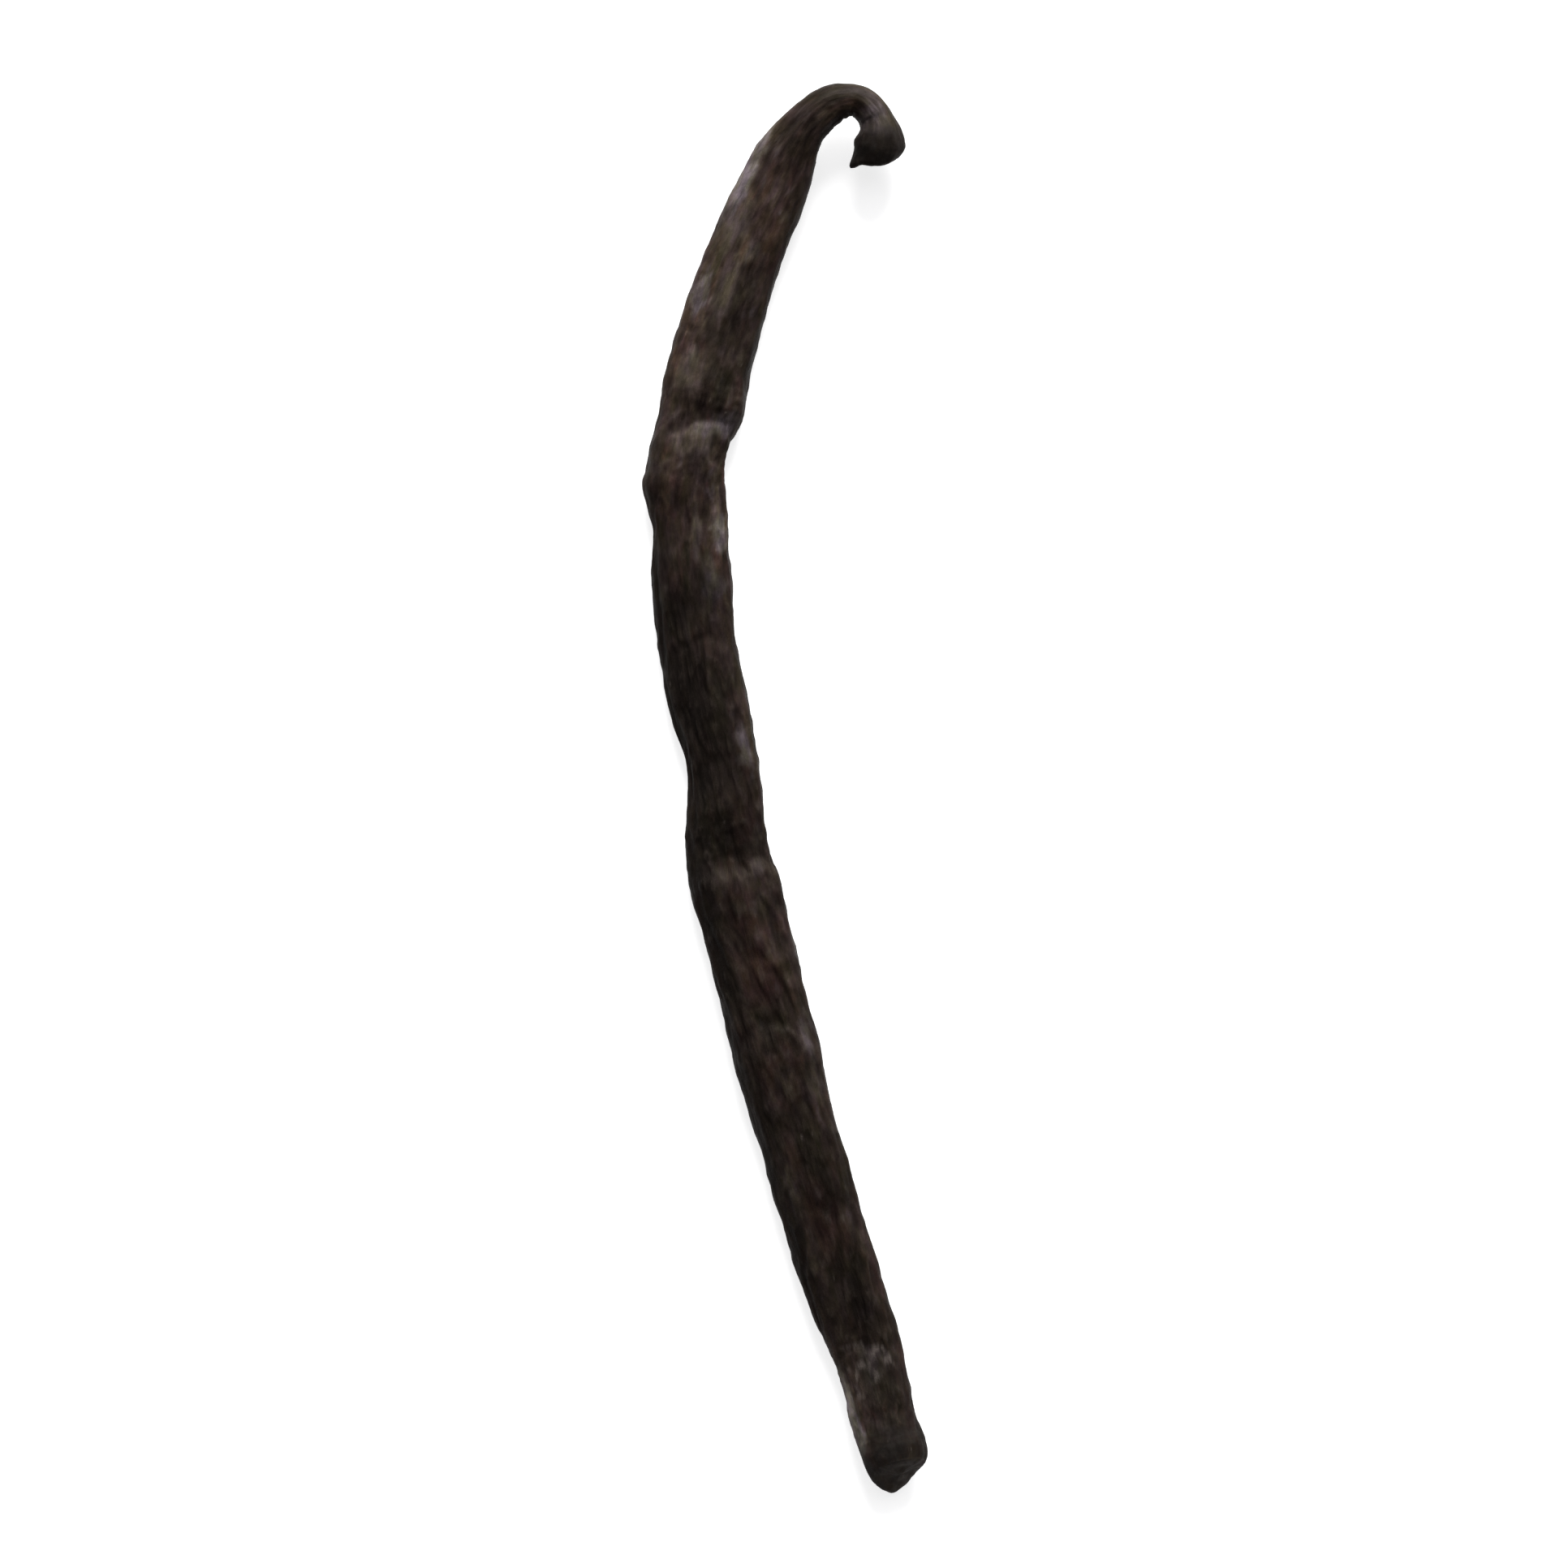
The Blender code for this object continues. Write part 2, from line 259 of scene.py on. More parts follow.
def crest(field, sharp):
    """1 on a rounded crest, 0 in a narrow groove; 1 where a line ends."""
    away = np.abs(np.angle(field)) / math.pi
    sure = smooth(0.05, 0.85, np.abs(field))
    valley = 0.5 - 0.5 * np.cos(math.pi * away)
    return 1.0 - (0.40 * away ** sharp + 0.60 * valley) * sure


def spline(knots, values):
    knots = np.asarray(knots, float)
    values = np.asarray(values, float)
    n = len(knots)
    gap = np.diff(knots)
    system = np.zeros((n, n))
    right = np.zeros(n)
    system[0, 0] = system[-1, -1] = 1.0
    for i in range(1, n - 1):
        system[i, i - 1] = gap[i - 1]
        system[i, i] = 2.0 * (gap[i - 1] + gap[i])
        system[i, i + 1] = gap[i]
        right[i] = 6.0 * ((values[i + 1] - values[i]) / gap[i]
                          - (values[i] - values[i - 1]) / gap[i - 1])
    bend = np.linalg.solve(system, right)

    def at(u):
        u = np.asarray(u, float)
        i = np.clip(np.searchsorted(knots, u) - 1, 0, n - 2)
        a = knots[i + 1] - u
        b = u - knots[i]
        h = gap[i]
        return ((bend[i] * a ** 3 + bend[i + 1] * b ** 3) / (6.0 * h)
                + (values[i] / h - bend[i] * h / 6.0) * a
                + (values[i + 1] / h - bend[i + 1] * h / 6.0) * b)

    return at


def gentle(knots, values):
    knots = np.asarray(knots, float)
    values = np.asarray(values, float)
    gap = np.diff(knots)
    rise = np.diff(values) / gap
    slope = np.zeros(len(knots))
    for i in range(1, len(knots) - 1):
        if rise[i - 1] * rise[i] > 0.0:
            w1 = 2.0 * gap[i] + gap[i - 1]
            w2 = gap[i] + 2.0 * gap[i - 1]
            slope[i] = (w1 + w2) / (w1 / rise[i - 1] + w2 / rise[i])
    slope[0], slope[-1] = rise[0], rise[-1]

    def at(u):
        u = np.asarray(u, float)
        i = np.clip(np.searchsorted(knots, u) - 1, 0, len(knots) - 2)
        h = gap[i]
        t = (u - knots[i]) / h
        return ((1 + 2 * t) * (1 - t) ** 2 * values[i]
                + t * (1 - t) ** 2 * h * slope[i]
                + t * t * (3 - 2 * t) * values[i + 1]
                + t * t * (t - 1) * h * slope[i + 1])

    return at


# ---------------------------------------------------------------- plain form
class Route:
    """Centre line, size and axes of the section at any distance."""

    def __init__(self, stations):
        x, y, lift, width, thick = np.array(stations, float).T
        height = lift + thick / 2.0
        chord = np.r_[0.0, np.cumsum(np.sqrt(
            np.diff(x) ** 2 + np.diff(y) ** 2 + np.diff(height) ** 2))]
        fx, fy = spline(chord, x), spline(chord, y)
        fz = gentle(chord, height)
        u = np.linspace(0.0, chord[-1], 6001)
        step = np.sqrt(np.diff(fx(u)) ** 2 + np.diff(fy(u)) ** 2
                       + np.diff(fz(u)) ** 2)
        run = np.r_[0.0, np.cumsum(step)]
        self.length = float(run[-1])
        self.knots = np.interp(chord, u, run)
        self.where = lambda s: np.interp(s, run, u)
        self.fx, self.fy, self.fz = fx, fy, fz
        self.fw = gentle(self.knots, width)
        self.ft = gentle(self.knots, thick)
        self.lift = gentle(self.knots, lift)

    def centre(self, s):
        u = self.where(np.clip(s, 0.0, self.length))
        return np.stack([self.fx(u), self.fy(u), self.fz(u)], -1)

    def axes(self, s):
        e = 0.05
        along = self.centre(s + e) - self.centre(s - e)
        along /= np.linalg.norm(along, axis=-1, keepdims=True)
        side = np.cross([0.0, 0.0, 1.0], along)
        side /= np.linalg.norm(side, axis=-1, keepdims=True)
        return along, side, np.cross(along, side)


def outline(route, s, theta):
    """The section's own plain outline: across and up from its centre."""
    length = route.length
    body = smooth(4.0, 26.0, s) * (1.0 - smooth(length - 16, length - 4, s))
    power = SECTION_POWER_ENDS + (SECTION_POWER - SECTION_POWER_ENDS) * body
    half_w = route.fw(s) / 2.0
    half_t = route.ft(s) / 2.0
    c, k = np.cos(theta), np.sin(theta)
    a = half_w * np.sign(c) * np.abs(c) ** (2.0 / power)
    b = half_t * np.sign(k) * np.abs(k) ** (2.0 / power)
    return a, b, half_w, half_t, c, k, body


def section(route, s, theta):
    length = route.length
    a, b, half_w, half_t, c, k, body = outline(route, s, theta)
    out_a, out_b = c / half_w, k / half_t
    norm = np.hypot(out_a, out_b)
    out_a, out_b = out_a / norm, out_b / norm
    move = np.zeros_like(a)
    for count, height, turns in RIDGES:
        phase = 2.0 * math.pi * turns * s / length + count * 0.9
        move += height * (np.cos(count * theta + phase) - 1.0) * body * 0.5
    for at, angle, depth, reach, spread in PINCHES:
        move -= (depth * bump((s - at) / reach)
                 * bump(turn_between(theta, angle) / spread))
    a = a + out_a * move
    b = b + out_b * move
    centre = route.centre(s)
    along, side, up = route.axes(s)
    point = centre + side * a[..., None] + up * b[..., None]
    lean = smooth(length - END_SLANT_REACH, length, s)
    back = END_SLANT * lean * np.clip((b / half_t + 1.0) / 2.0, 0.0, 1.0)
    return point - along * back[..., None]


def drops(route, places, samples=72):
    """How far each section moves down, so that its underside has its lift."""
    theta = np.arange(samples) * 2.0 * math.pi / samples
    s, t = np.meshgrid(places, theta, indexing="ij")
    return section(route, s, t)[..., 2].min(axis=1) - route.lift(places)


def even_angles(route, places, sides):
    """Section angles that put the points at even distances round it."""
    dense = np.linspace(0.0, 2.0 * math.pi, 721)
    s, t = np.meshgrid(places, dense, indexing="ij")
    a, b = outline(route, s, t)[:2]
    run = np.cumsum(np.hypot(np.diff(a, axis=1), np.diff(b, axis=1)), axis=1)
    run = np.concatenate([np.zeros((len(places), 1)), run], axis=1)
    wanted = np.arange(sides) / sides
    angles = np.empty((len(places), sides))
    for i in range(len(places)):
        angles[i] = np.interp(wanted * run[i, -1], run[i], dense)
    return angles, run[:, -1]


# ---------------------------------------------------------------- the skin
def ring_places(length, count):
    """Sections closer together where creases cross the pod."""
    s = np.linspace(0.0, length, 4001)
    dense = 1.0 + 1.3 * bump((s - 4.0) / 5.0) + 1.1 * bump((s - 49.5) / 3.6)
    dense += 0.9 * bump((s - 93.5) / 3.0) + 0.9 * bump((s - length) / 3.5)
    run = np.r_[0.0, np.cumsum((dense[1:] + dense[:-1]) / 2.0)]
    return np.interp(np.linspace(0.0, run[-1], count), run, s)


def soften(field, along, round_):
    """Blurs a field on the skin: wraps round the pod, stops at its ends."""
    out = field
    for _ in range(3):
        if round_ > 0:
            acc = out.copy()
            for k in range(1, round_ + 1):
                acc += np.roll(out, k, axis=1) + np.roll(out, -k, axis=1)
            out = acc / (2 * round_ + 1)
        if along > 0:
            pad = np.concatenate([np.repeat(out[:1], along, 0), out,
                                  np.repeat(out[-1:], along, 0)])
            run = np.cumsum(np.concatenate([np.zeros_like(pad[:1]), pad]), 0)
            out = (run[2 * along + 1:] - run[:-2 * along - 1]) / (2 * along + 1)
    return out


def relief(s, v, theta, length, sheet, thin):
    """Height of the skin above the plain form (mm), and what made it."""
    body = smooth(2.0, 12.0, s) * (1.0 - smooth(length - 8.0, length, s))
    side = np.cos(theta)

    # lines wander, and lean one way and then the other along the pod
    lean = (-0.0034 * np.minimum(s - 14.0, 34.0) * (s > 14.0)
            - 0.0006 * np.clip(s - 48.0, 0.0, 42.0)
            - 0.0052 * np.clip(s - 90.0, 0.0, 26.0)
            + 0.0016 * np.clip(s - 116.0, 0.0, 20.0)
            + 0.0070 * np.clip(s - 136.0, 0.0, 24.0))
    flow = (v - lean + 0.016 * layers(s, v, 23.0, 3, 3, 5)
            + 0.014 * layers(s, v, 4.6, 8, 3, 6, 0.55))
    shift = 1.1 * layers(s, v, 4.0, 8, 3, 7)

    # the flanks and the underside are less deeply wrinkled
    calm = (1.0 - 0.38 * smooth(0.60, 0.96, np.abs(side))
            - 0.25 * smooth(0.20, -0.50, np.sin(theta)))

    height = np.zeros_like(s)
    tops = []
    for k, (count, blur, reach, depth, sharp, seed) in enumerate(WRINKLES):
        field = sheet.strands(count, blur, reach, seed)
        top = crest(sheet.at(field, s + shift, flow), sharp)
        local = np.clip(0.62 + 0.80 * layers(s, v, (11.0, 4.2, 3.2, 2.6)[k],
                                             (5, 9, 13, 17)[k], 3, seed + 3),
                        0.05, 1.25)
        if k > 0:
            # smoother skin on the shoulder of the upper limb
            local *= 1.0 - 0.50 * bump((s - 21.0) / 9.0) * bump(
                turn_between(theta, 130.0) / 60.0)
            local *= smooth(0.30, (0.0, 0.62, 0.86, 0.95)[k], thin)
        hook = (0.16, 0.10, 0.08, 0.20)[k]
        hook = hook + (1.0 - hook) * smooth(3.0, 18.0, s)
        height += depth * (top - 1.0) * local * hook * calm * (0.55 + 0.45 * body)
        tops.append(top * 1.0)

    # crests rise and sink in beads along their length
    height += 0.070 * layers(s, v, 1.9, 18, 3, 61) * tops[1]
    # broad lumps where the seed mass has settled
    height += 0.20 * layers(s, v, 8.0, 3, 3, 71) * body

    # the hook is lumpy rather than lined
    height += 0.20 * layers(s, v, 3.4, 3, 4, 73, 0.55) * bump((s - 8.5) / 6.5)
    # low pads and hollows all over, as on drying leather
    height += 0.085 * layers(s, v, 2.8, 9, 3, 75, 0.55)

    # cross creases, deeper in some places than in others
    wobble = 0.42 * layers(s, v, 2.6, 9, 3, 81)
    for at, fall, fore, depth, above, below, mid, spread in CREASES:
        away = turn_between(theta, mid)
        line = at + fall * smooth(0.08, 0.85, np.abs(side - fore))
        gap = s - line - wobble
        width = np.where(gap < 0.0, above, below)
        deep_here = depth * bump(away / spread) * np.clip(
            0.85 + 0.5 * layers(s, v, 6.0, 11, 2, int(at * 7)), 0.25, 1.25)
        height -= deep_here * np.exp(-np.abs(gap / width) ** 1.3)
        height += 0.38 * deep_here * bump((gap - 1.05) / 0.70)

    # puckers: short cross wrinkles inside the hook and at the knees
    pucker = (0.8 * bump((s - 9.0) / 4.0) * bump(turn_between(theta, 10.0) / 56.0)
              + 0.35 * bump((s - 52.4) / 2.6) * bump(turn_between(theta, 20.0) / 46.0)
              + 0.30 * bump((s - 43.5) / 4.2) * bump(turn_between(theta, 96.0) / 46.0)
              + 0.08 * bump((s - 96.6) / 2.6)
              + 0.35 * bump((s - 115.0) / 3.4) * bump(turn_between(theta, 90.0) / 60.0)
              + 0.55 * bump((s - 150.5) / 3.4) * bump(turn_between(theta, 150.0) / 70.0))
    field = sheet.ripples(1.15, 0.34, 0.10, 91)
    cross = crest(sheet.at(field, s + 8.0 * (flow - v), v), 2.0)
    height += 0.17 * (cross - 1.0) * np.clip(pucker, 0.0, 1.0)

    # stem knob and blossom end: rough and lumpy
    rough = 1.0 - smooth(2.0, 6.5, s) + 0.6 * smooth(length - 4.6, length - 1.0, s)
    height += rough * (0.15 * layers(s, v, 2.4, 4, 4, 99, 0.45)
                       - 0.07 * np.abs(layers(s, v, 1.9, 6, 3, 103)))

    # the rim of the blossom end flares a little, unevenly
    flare = 0.01 + 0.06 * layers(s * 0.0 + 3.0, v, 1.0, 5, 2, 107)
    height += flare * bump((s - (length - 0.8)) / 0.9)
    return height + 0.08, tops, cross, pucker


def build_skin():
    route = Route(STATIONS)
    length = route.length
    places = ring_places(length, RINGS)
    angles, girth = even_angles(route, places, SIDES)
    s = np.repeat(places[:, None], SIDES, axis=1)
    v = np.repeat((np.arange(SIDES) / SIDES)[None, :], RINGS, axis=0)
    plain = section(route, s, angles)
    plain[..., 2] -= drops(route, places)[:, None]

    # rims, as on the CAD solid
    along0 = route.axes(np.array([0.0]))[0][0]
    along1 = route.axes(np.array([length]))[0][0]
    side0 = route.axes(np.array([0.0]))[1][0]
    cut = (STEM_BEVEL * bump(turn_between(angles, 180.0) / 46.0)
           * (1.0 - smooth(0.0, 3.6, s)))
    torn = (bump(turn_between(angles, 8.0) / 20.0)
            * (1.0 - smooth(0.0, 2.2, s)) ** 2.2)
    plain += side0 * (LIP_OUT * torn)[..., None]
    lip = LIP * torn
    plain += along0 * (cut - lip)[..., None]
    near1 = smooth(length - 4.2, length, s)
    chin = CHIN * bump(turn_between(angles, CHIN_SIDE) / 38.0) * near1 ** 1.6
    plain += along1 * chin[..., None]

    # both rims roll inwards
    for width, most, gone in ((0.75, 0.10, s), (2.1, 0.16, length - s)):
        t = np.clip(1.0 - gone / width, 0.0, 1.0)
        roll = most * (1.0 - np.sqrt(1.0 - 0.96 * t * t))
        hub = plain.mean(axis=1, keepdims=True)
        plain += (hub - plain) * roll[..., None]

    # outward directions of the plain form
    ds = np.gradient(plain, axis=0)
    dv = np.roll(plain, -1, axis=1) - np.roll(plain, 1, axis=1)
    out = np.cross(dv, ds)
    out /= np.linalg.norm(out, axis=-1, keepdims=True)
    middle = plain.mean(axis=1, keepdims=True)
    if (np.einsum("ijk,ijk->ij", out, plain - middle)).mean() < 0.0:
        out = -out

    sheet = Sheet(length)
    thin = np.clip(girth / girth.max(), 0.40, 1.0)[:, None]
    height, tops, cross, pucker = relief(s, v, angles, length, sheet,
                                         thin + 0.0 * s)
    # thin parts take shallower relief
    skin = plain + out * (height * thin)[..., None]

    # small cut-outs of the relief: how deep a point lies in its surroundings
    cavity = height - soften(height, 5, 7)
    fine = height - soften(height, 2, 2)

    # end faces: a rolled rim round a sunken, lumpy scar
    def face(rim, facing, dish, rise, lumpy, seed):
        centre = rim.mean(axis=0)
        v1 = np.arange(SIDES) / SIDES
        rows = []
        for share in CAP_SHARES:
            r = np.full(SIDES, share)
            deepest = dish * (0.8 + 0.5 * layers(r * 0.0 + 5.0, v1, 1.0, 4, 2, seed + 9))
            # a rounded shoulder, then a dish with a low boss
            lift = (rise * np.sqrt(1.0 - share * share)
                    - deepest * smooth(0.90, 0.35, r)
                    + 0.22 * bump(share / 0.26))
            lumps = lumpy * (layers(r * 2.0 + 40.0, v1, 1.0, 4, 3, seed, 0.45)
                             - 0.5 * np.abs(layers(r * 1.2 + 9.0, v1, 1.0, 5, 2, seed + 3)))
            lift = lift + lumps * smooth(1.0, 0.76, r) * smooth(0.0, 0.30, r)
            rows.append(centre + (rim - centre) * share + facing * lift[:, None])
        return rows, centre + facing * (0.22 + rise - dish)

    rim = skin[-1]
    across = rim[0] - rim[SIDES // 2]
    upward = rim[SIDES // 4] - rim[3 * SIDES // 4]
    facing = np.cross(upward, across)
    facing /= np.linalg.norm(facing)
    if np.dot(facing, along1) < 0.0:
        facing = -facing
    stem_rows, stem_tip = face(skin[0], -along0, 0.60, 0.10, 0.22, 211)
    end_rows, end_tip = face(skin[-1], facing, 0.34, 0.42, 0.12, 223)
    return (route, places, angles, girth, s, v, skin, height, cavity, fine,
            stem_rows, stem_tip, end_rows, end_tip, tops, cross, pucker)


def make_pod():
    (route, places, angles, girth, s, v, skin, height, cavity, fine,
     stem_rows, stem_tip, end_rows, end_tip, tops, cross, pucker) = build_skin()
    length = route.length
    rows = [np.asarray(r) for r in stem_rows[::-1]]
    rows += [skin[i] for i in range(RINGS)]
    rows += [np.asarray(r) for r in end_rows]
    grid = np.stack(rows)
    total = len(rows)
    flat = np.concatenate([grid.reshape(-1, 3), stem_tip[None], end_tip[None]])

    # press the underside softly onto the surface, then fit the CAD's box
    z = flat[:, 2]
    flat[:, 2] = 0.5 * (z + np.sqrt(z * z + 0.0004))
    low, high = flat.min(axis=0), flat.max(axis=0)
    want_low = np.array(cad_box[0]) / MM
    want_high = np.array(cad_box[1]) / MM
    flat = want_low + (flat - low) * (want_high - want_low) / (high - low)

    mesh = bpy.data.meshes.new("pod_skin")
    faces, strips = [], []
    first, last = len(flat) - 2, len(flat) - 1
    for i in range(total - 1):
        for j in range(SIDES):
            k = (j + 1) % SIDES
            faces.append((i * SIDES + j, i * SIDES + k,
                          (i + 1) * SIDES + k, (i + 1) * SIDES + j))
    for j in range(SIDES):
        k = (j + 1) % SIDES
        faces.append((first, k, j))
        faces.append((last, (total - 1) * SIDES + j, (total - 1) * SIDES + k))
    mesh.from_pydata((flat * MM).tolist(), [], faces)
    mesh.validate()
    mesh.update()
    return (mesh, route, places, angles, girth, s, v, height, cavity, fine,
            total, tops, cross, pucker)


(mesh, route, places, angles, girth, s_grid, v_grid, height, cavity, fine,
 total_rows, tops, cross, pucker) = make_pod()
length = route.length

# ---------------------------------------------------------------- skin data
def spread(field, stem_value, end_value):
    """A body field as one number for every vertex, with the end faces."""
    top = np.full((CAP_RINGS, SIDES), stem_value)
    tail = np.full((CAP_RINGS, SIDES), end_value)
    whole = np.concatenate([top, field, tail]).ravel()
    return np.concatenate([whole, [stem_value, end_value]])


def number(name, values):
    layer = mesh.attributes.new(name, "FLOAT", "POINT")
    layer.data.foreach_set("value", np.asarray(values, np.float32))


def triple(name, values):
    layer = mesh.attributes.new(name, "FLOAT_VECTOR", "POINT")
    layer.data.foreach_set("vector", np.asarray(values, np.float32).ravel())


# how the fine relief reads: crests worn and paler, grooves oily and dark,
# with painted shade darkening the points that lie deep in the relief
crests = 0.26 * tops[0] + 0.36 * tops[1] + 0.25 * tops[2] + 0.13 * tops[3]
crests = np.clip((crests - 0.45) / 0.50, 0.0, 1.0)
# painted shade: the deeper a point lies in the relief, the darker its colour
deep = np.clip(0.55 + cavity / 0.30, 0.0, 1.0)
tiny = np.clip(0.5 + fine / 0.09, 0.0, 1.0)

# Patches of the skin seen from above: tone, place along the pod, place
# across it (mm, + is the side of the hook's end), half-length, half-width,
# strength. The pale patches are partly pale bloom and partly painted sheen
# and highlight: along the upper limb's left edge, on the hook's neck, at the
# knee, on the lower limb's window side and by the blossom end.
RED, OLIVE, TAN, PALE_AND_SHEEN, DARK, MAUVE = range(6)
PATCHES = (
    (DARK, 2.6, 0.4, 2.4, 2.2, 0.60), (PALE_AND_SHEEN, 6.4, -0.6, 1.3, 0.8, 0.30),
    (TAN, 9.6, -0.9, 1.6, 0.5, 0.30), (PALE_AND_SHEEN, 5.0, 0.3, 1.7, 1.5, 0.60),
    (TAN, 7.9, -0.7, 1.8, 0.8, 0.55), (OLIVE, 8.0, -1.5, 3.6, 0.8, 0.95), (DARK, 10.2, 0.7, 1.2, 0.7, 0.55),
    (DARK, 18.0, 0.9, 2.6, 1.7, 0.60), (DARK, 20.0, -0.2, 0.9, 0.6, 0.55),
    (PALE_AND_SHEEN, 21.0, -3.2, 5.6, 0.7, 0.80), (MAUVE, 22.4, -0.1, 1.8, 1.4, 0.60),
    (DARK, 26.2, 0.1, 1.1, 0.6, 0.50), (TAN, 29.4, 0.4, 1.2, 0.7, 0.75),
    (RED, 25.8, 2.1, 4.0, 0.7, 0.30), (TAN, 26.8, -2.6, 2.6, 1.4, 0.65),
    (OLIVE, 32.4, -2.7, 2.5, 0.5, 0.75), (TAN, 34.4, -0.8, 3.2, 1.2, 0.50),
    (OLIVE, 33.4, 0.2, 3.0, 0.8, 0.40), (PALE_AND_SHEEN, 35.4, -3.3, 2.2, 0.7, 0.65),
    (DARK, 36.9, 1.3, 1.3, 0.4, 0.80), (DARK, 39.2, -2.0, 0.9, 2.0, 0.55),
    (MAUVE, 38.9, 0.3, 1.1, 2.4, 0.50), (OLIVE, 45.2, 1.8, 2.9, 0.8, 0.85), (DARK, 45.4, 0.0, 2.5, 0.5, 0.75),
    (DARK, 45.8, 1.9, 1.8, 0.5, 0.60),
    (DARK, 46.8, 0.8, 0.9, 1.9, 0.60), (TAN, 42.9, -1.3, 2.2, 1.6, 0.55),
    (PALE_AND_SHEEN, 48.2, 2.9, 1.2, 1.3, 0.85), (TAN, 50.4, -0.3, 1.7, 2.1, 0.70),
    (PALE_AND_SHEEN, 49.2, 0.6, 0.7, 1.2, 0.55), (DARK, 50.6, -3.5, 1.7, 0.8, 0.60),
    (DARK, 53.7, -0.7, 0.6, 0.5, 0.60), (DARK, 55.4, -3.9, 1.4, 0.6, 0.85),
    (PALE_AND_SHEEN, 60.5, 3.4, 1.9, 0.7, 0.90), (TAN, 60.3, 0.8, 2.6, 0.5, 0.70),
    (DARK, 63.0, 3.8, 0.6, 0.3, 0.90), (TAN, 64.2, 2.0, 1.8, 0.8, 0.75),
    (PALE_AND_SHEEN, 66.3, 2.2, 1.4, 1.0, 0.45), (OLIVE, 63.7, -0.4, 2.2, 0.4, 0.75),
    (DARK, 68.1, -1.6, 2.2, 1.3, 0.60), (RED, 71.6, -0.4, 1.1, 0.5, 0.70),
    (TAN, 70.7, -1.1, 1.4, 0.3, 0.60), (DARK, 77.2, -1.9, 4.6, 1.9, 0.75),
    (MAUVE, 73.6, 2.2, 4.2, 1.0, 0.45), (OLIVE, 80.4, 0.7, 2.6, 1.4, 0.60),
    (PALE_AND_SHEEN, 82.7, 2.7, 1.3, 0.7, 0.70), (PALE_AND_SHEEN, 84.9, 2.7, 0.8, 0.8, 0.75),
    (DARK, 85.4, -1.3, 2.6, 1.7, 0.80), (RED, 92.2, 1.5, 2.8, 1.3, 0.65),
    (TAN, 93.0, 3.0, 1.1, 0.5, 0.60), (DARK, 94.5, 1.4, 0.9, 1.2, 0.90),
    (OLIVE, 91.8, -1.6, 4.3, 1.2, 0.75), (TAN, 96.4, 2.4, 1.1, 0.8, 0.90),
    (MAUVE, 97.6, 0.6, 2.0, 1.4, 0.55), (TAN, 97.5, -1.7, 1.5, 0.8, 0.55),
    (RED, 97.7, -1.5, 1.6, 1.0, 0.60), (MAUVE, 102.4, 2.0, 3.2, 1.6, 0.50),
    (RED, 107.6, 0.2, 3.6, 2.0, 0.80), (RED, 100.6, -0.4, 3.0, 1.6, 0.50), (OLIVE, 112.2, 0.2, 1.8, 1.8, 0.70),
    (DARK, 114.3, -2.5, 1.9, 0.8, 0.60), (PALE_AND_SHEEN, 115.3, 3.4, 1.8, 0.6, 0.45),
    (DARK, 115.4, -0.6, 1.2, 0.9, 0.60), (RED, 118.6, -0.4, 2.8, 1.8, 0.70),
    (TAN, 118.9, -0.1, 1.6, 1.0, 0.50), (TAN, 120.2, 3.0, 2.2, 1.0, 0.60),
    (OLIVE, 127.0, 0.4, 3.9, 1.3, 0.75), (RED, 133.2, -0.2, 4.1, 1.3, 0.75),
    (TAN, 130.4, -2.6, 6.8, 0.5, 0.55), (OLIVE, 139.6, 1.1, 2.6, 1.3, 0.60),
    (DARK, 139.6, 1.1, 2.4, 1.1, 0.35), (DARK, 145.1, 1.0, 3.0, 1.6, 0.55),
    (OLIVE, 154.6, 0.9, 2.5, 1.3, 0.55), (PALE_AND_SHEEN, 154.8, -3.4, 4.6, 0.5, 1.00), (PALE_AND_SHEEN, 157.6, -3.1, 2.0, 0.7, 1.00),
    (MAUVE, 158.6, -0.4, 2.0, 1.5, 0.55), (PALE_AND_SHEEN, 150.2, 0.6, 1.6, 1.6, 0.30),
)

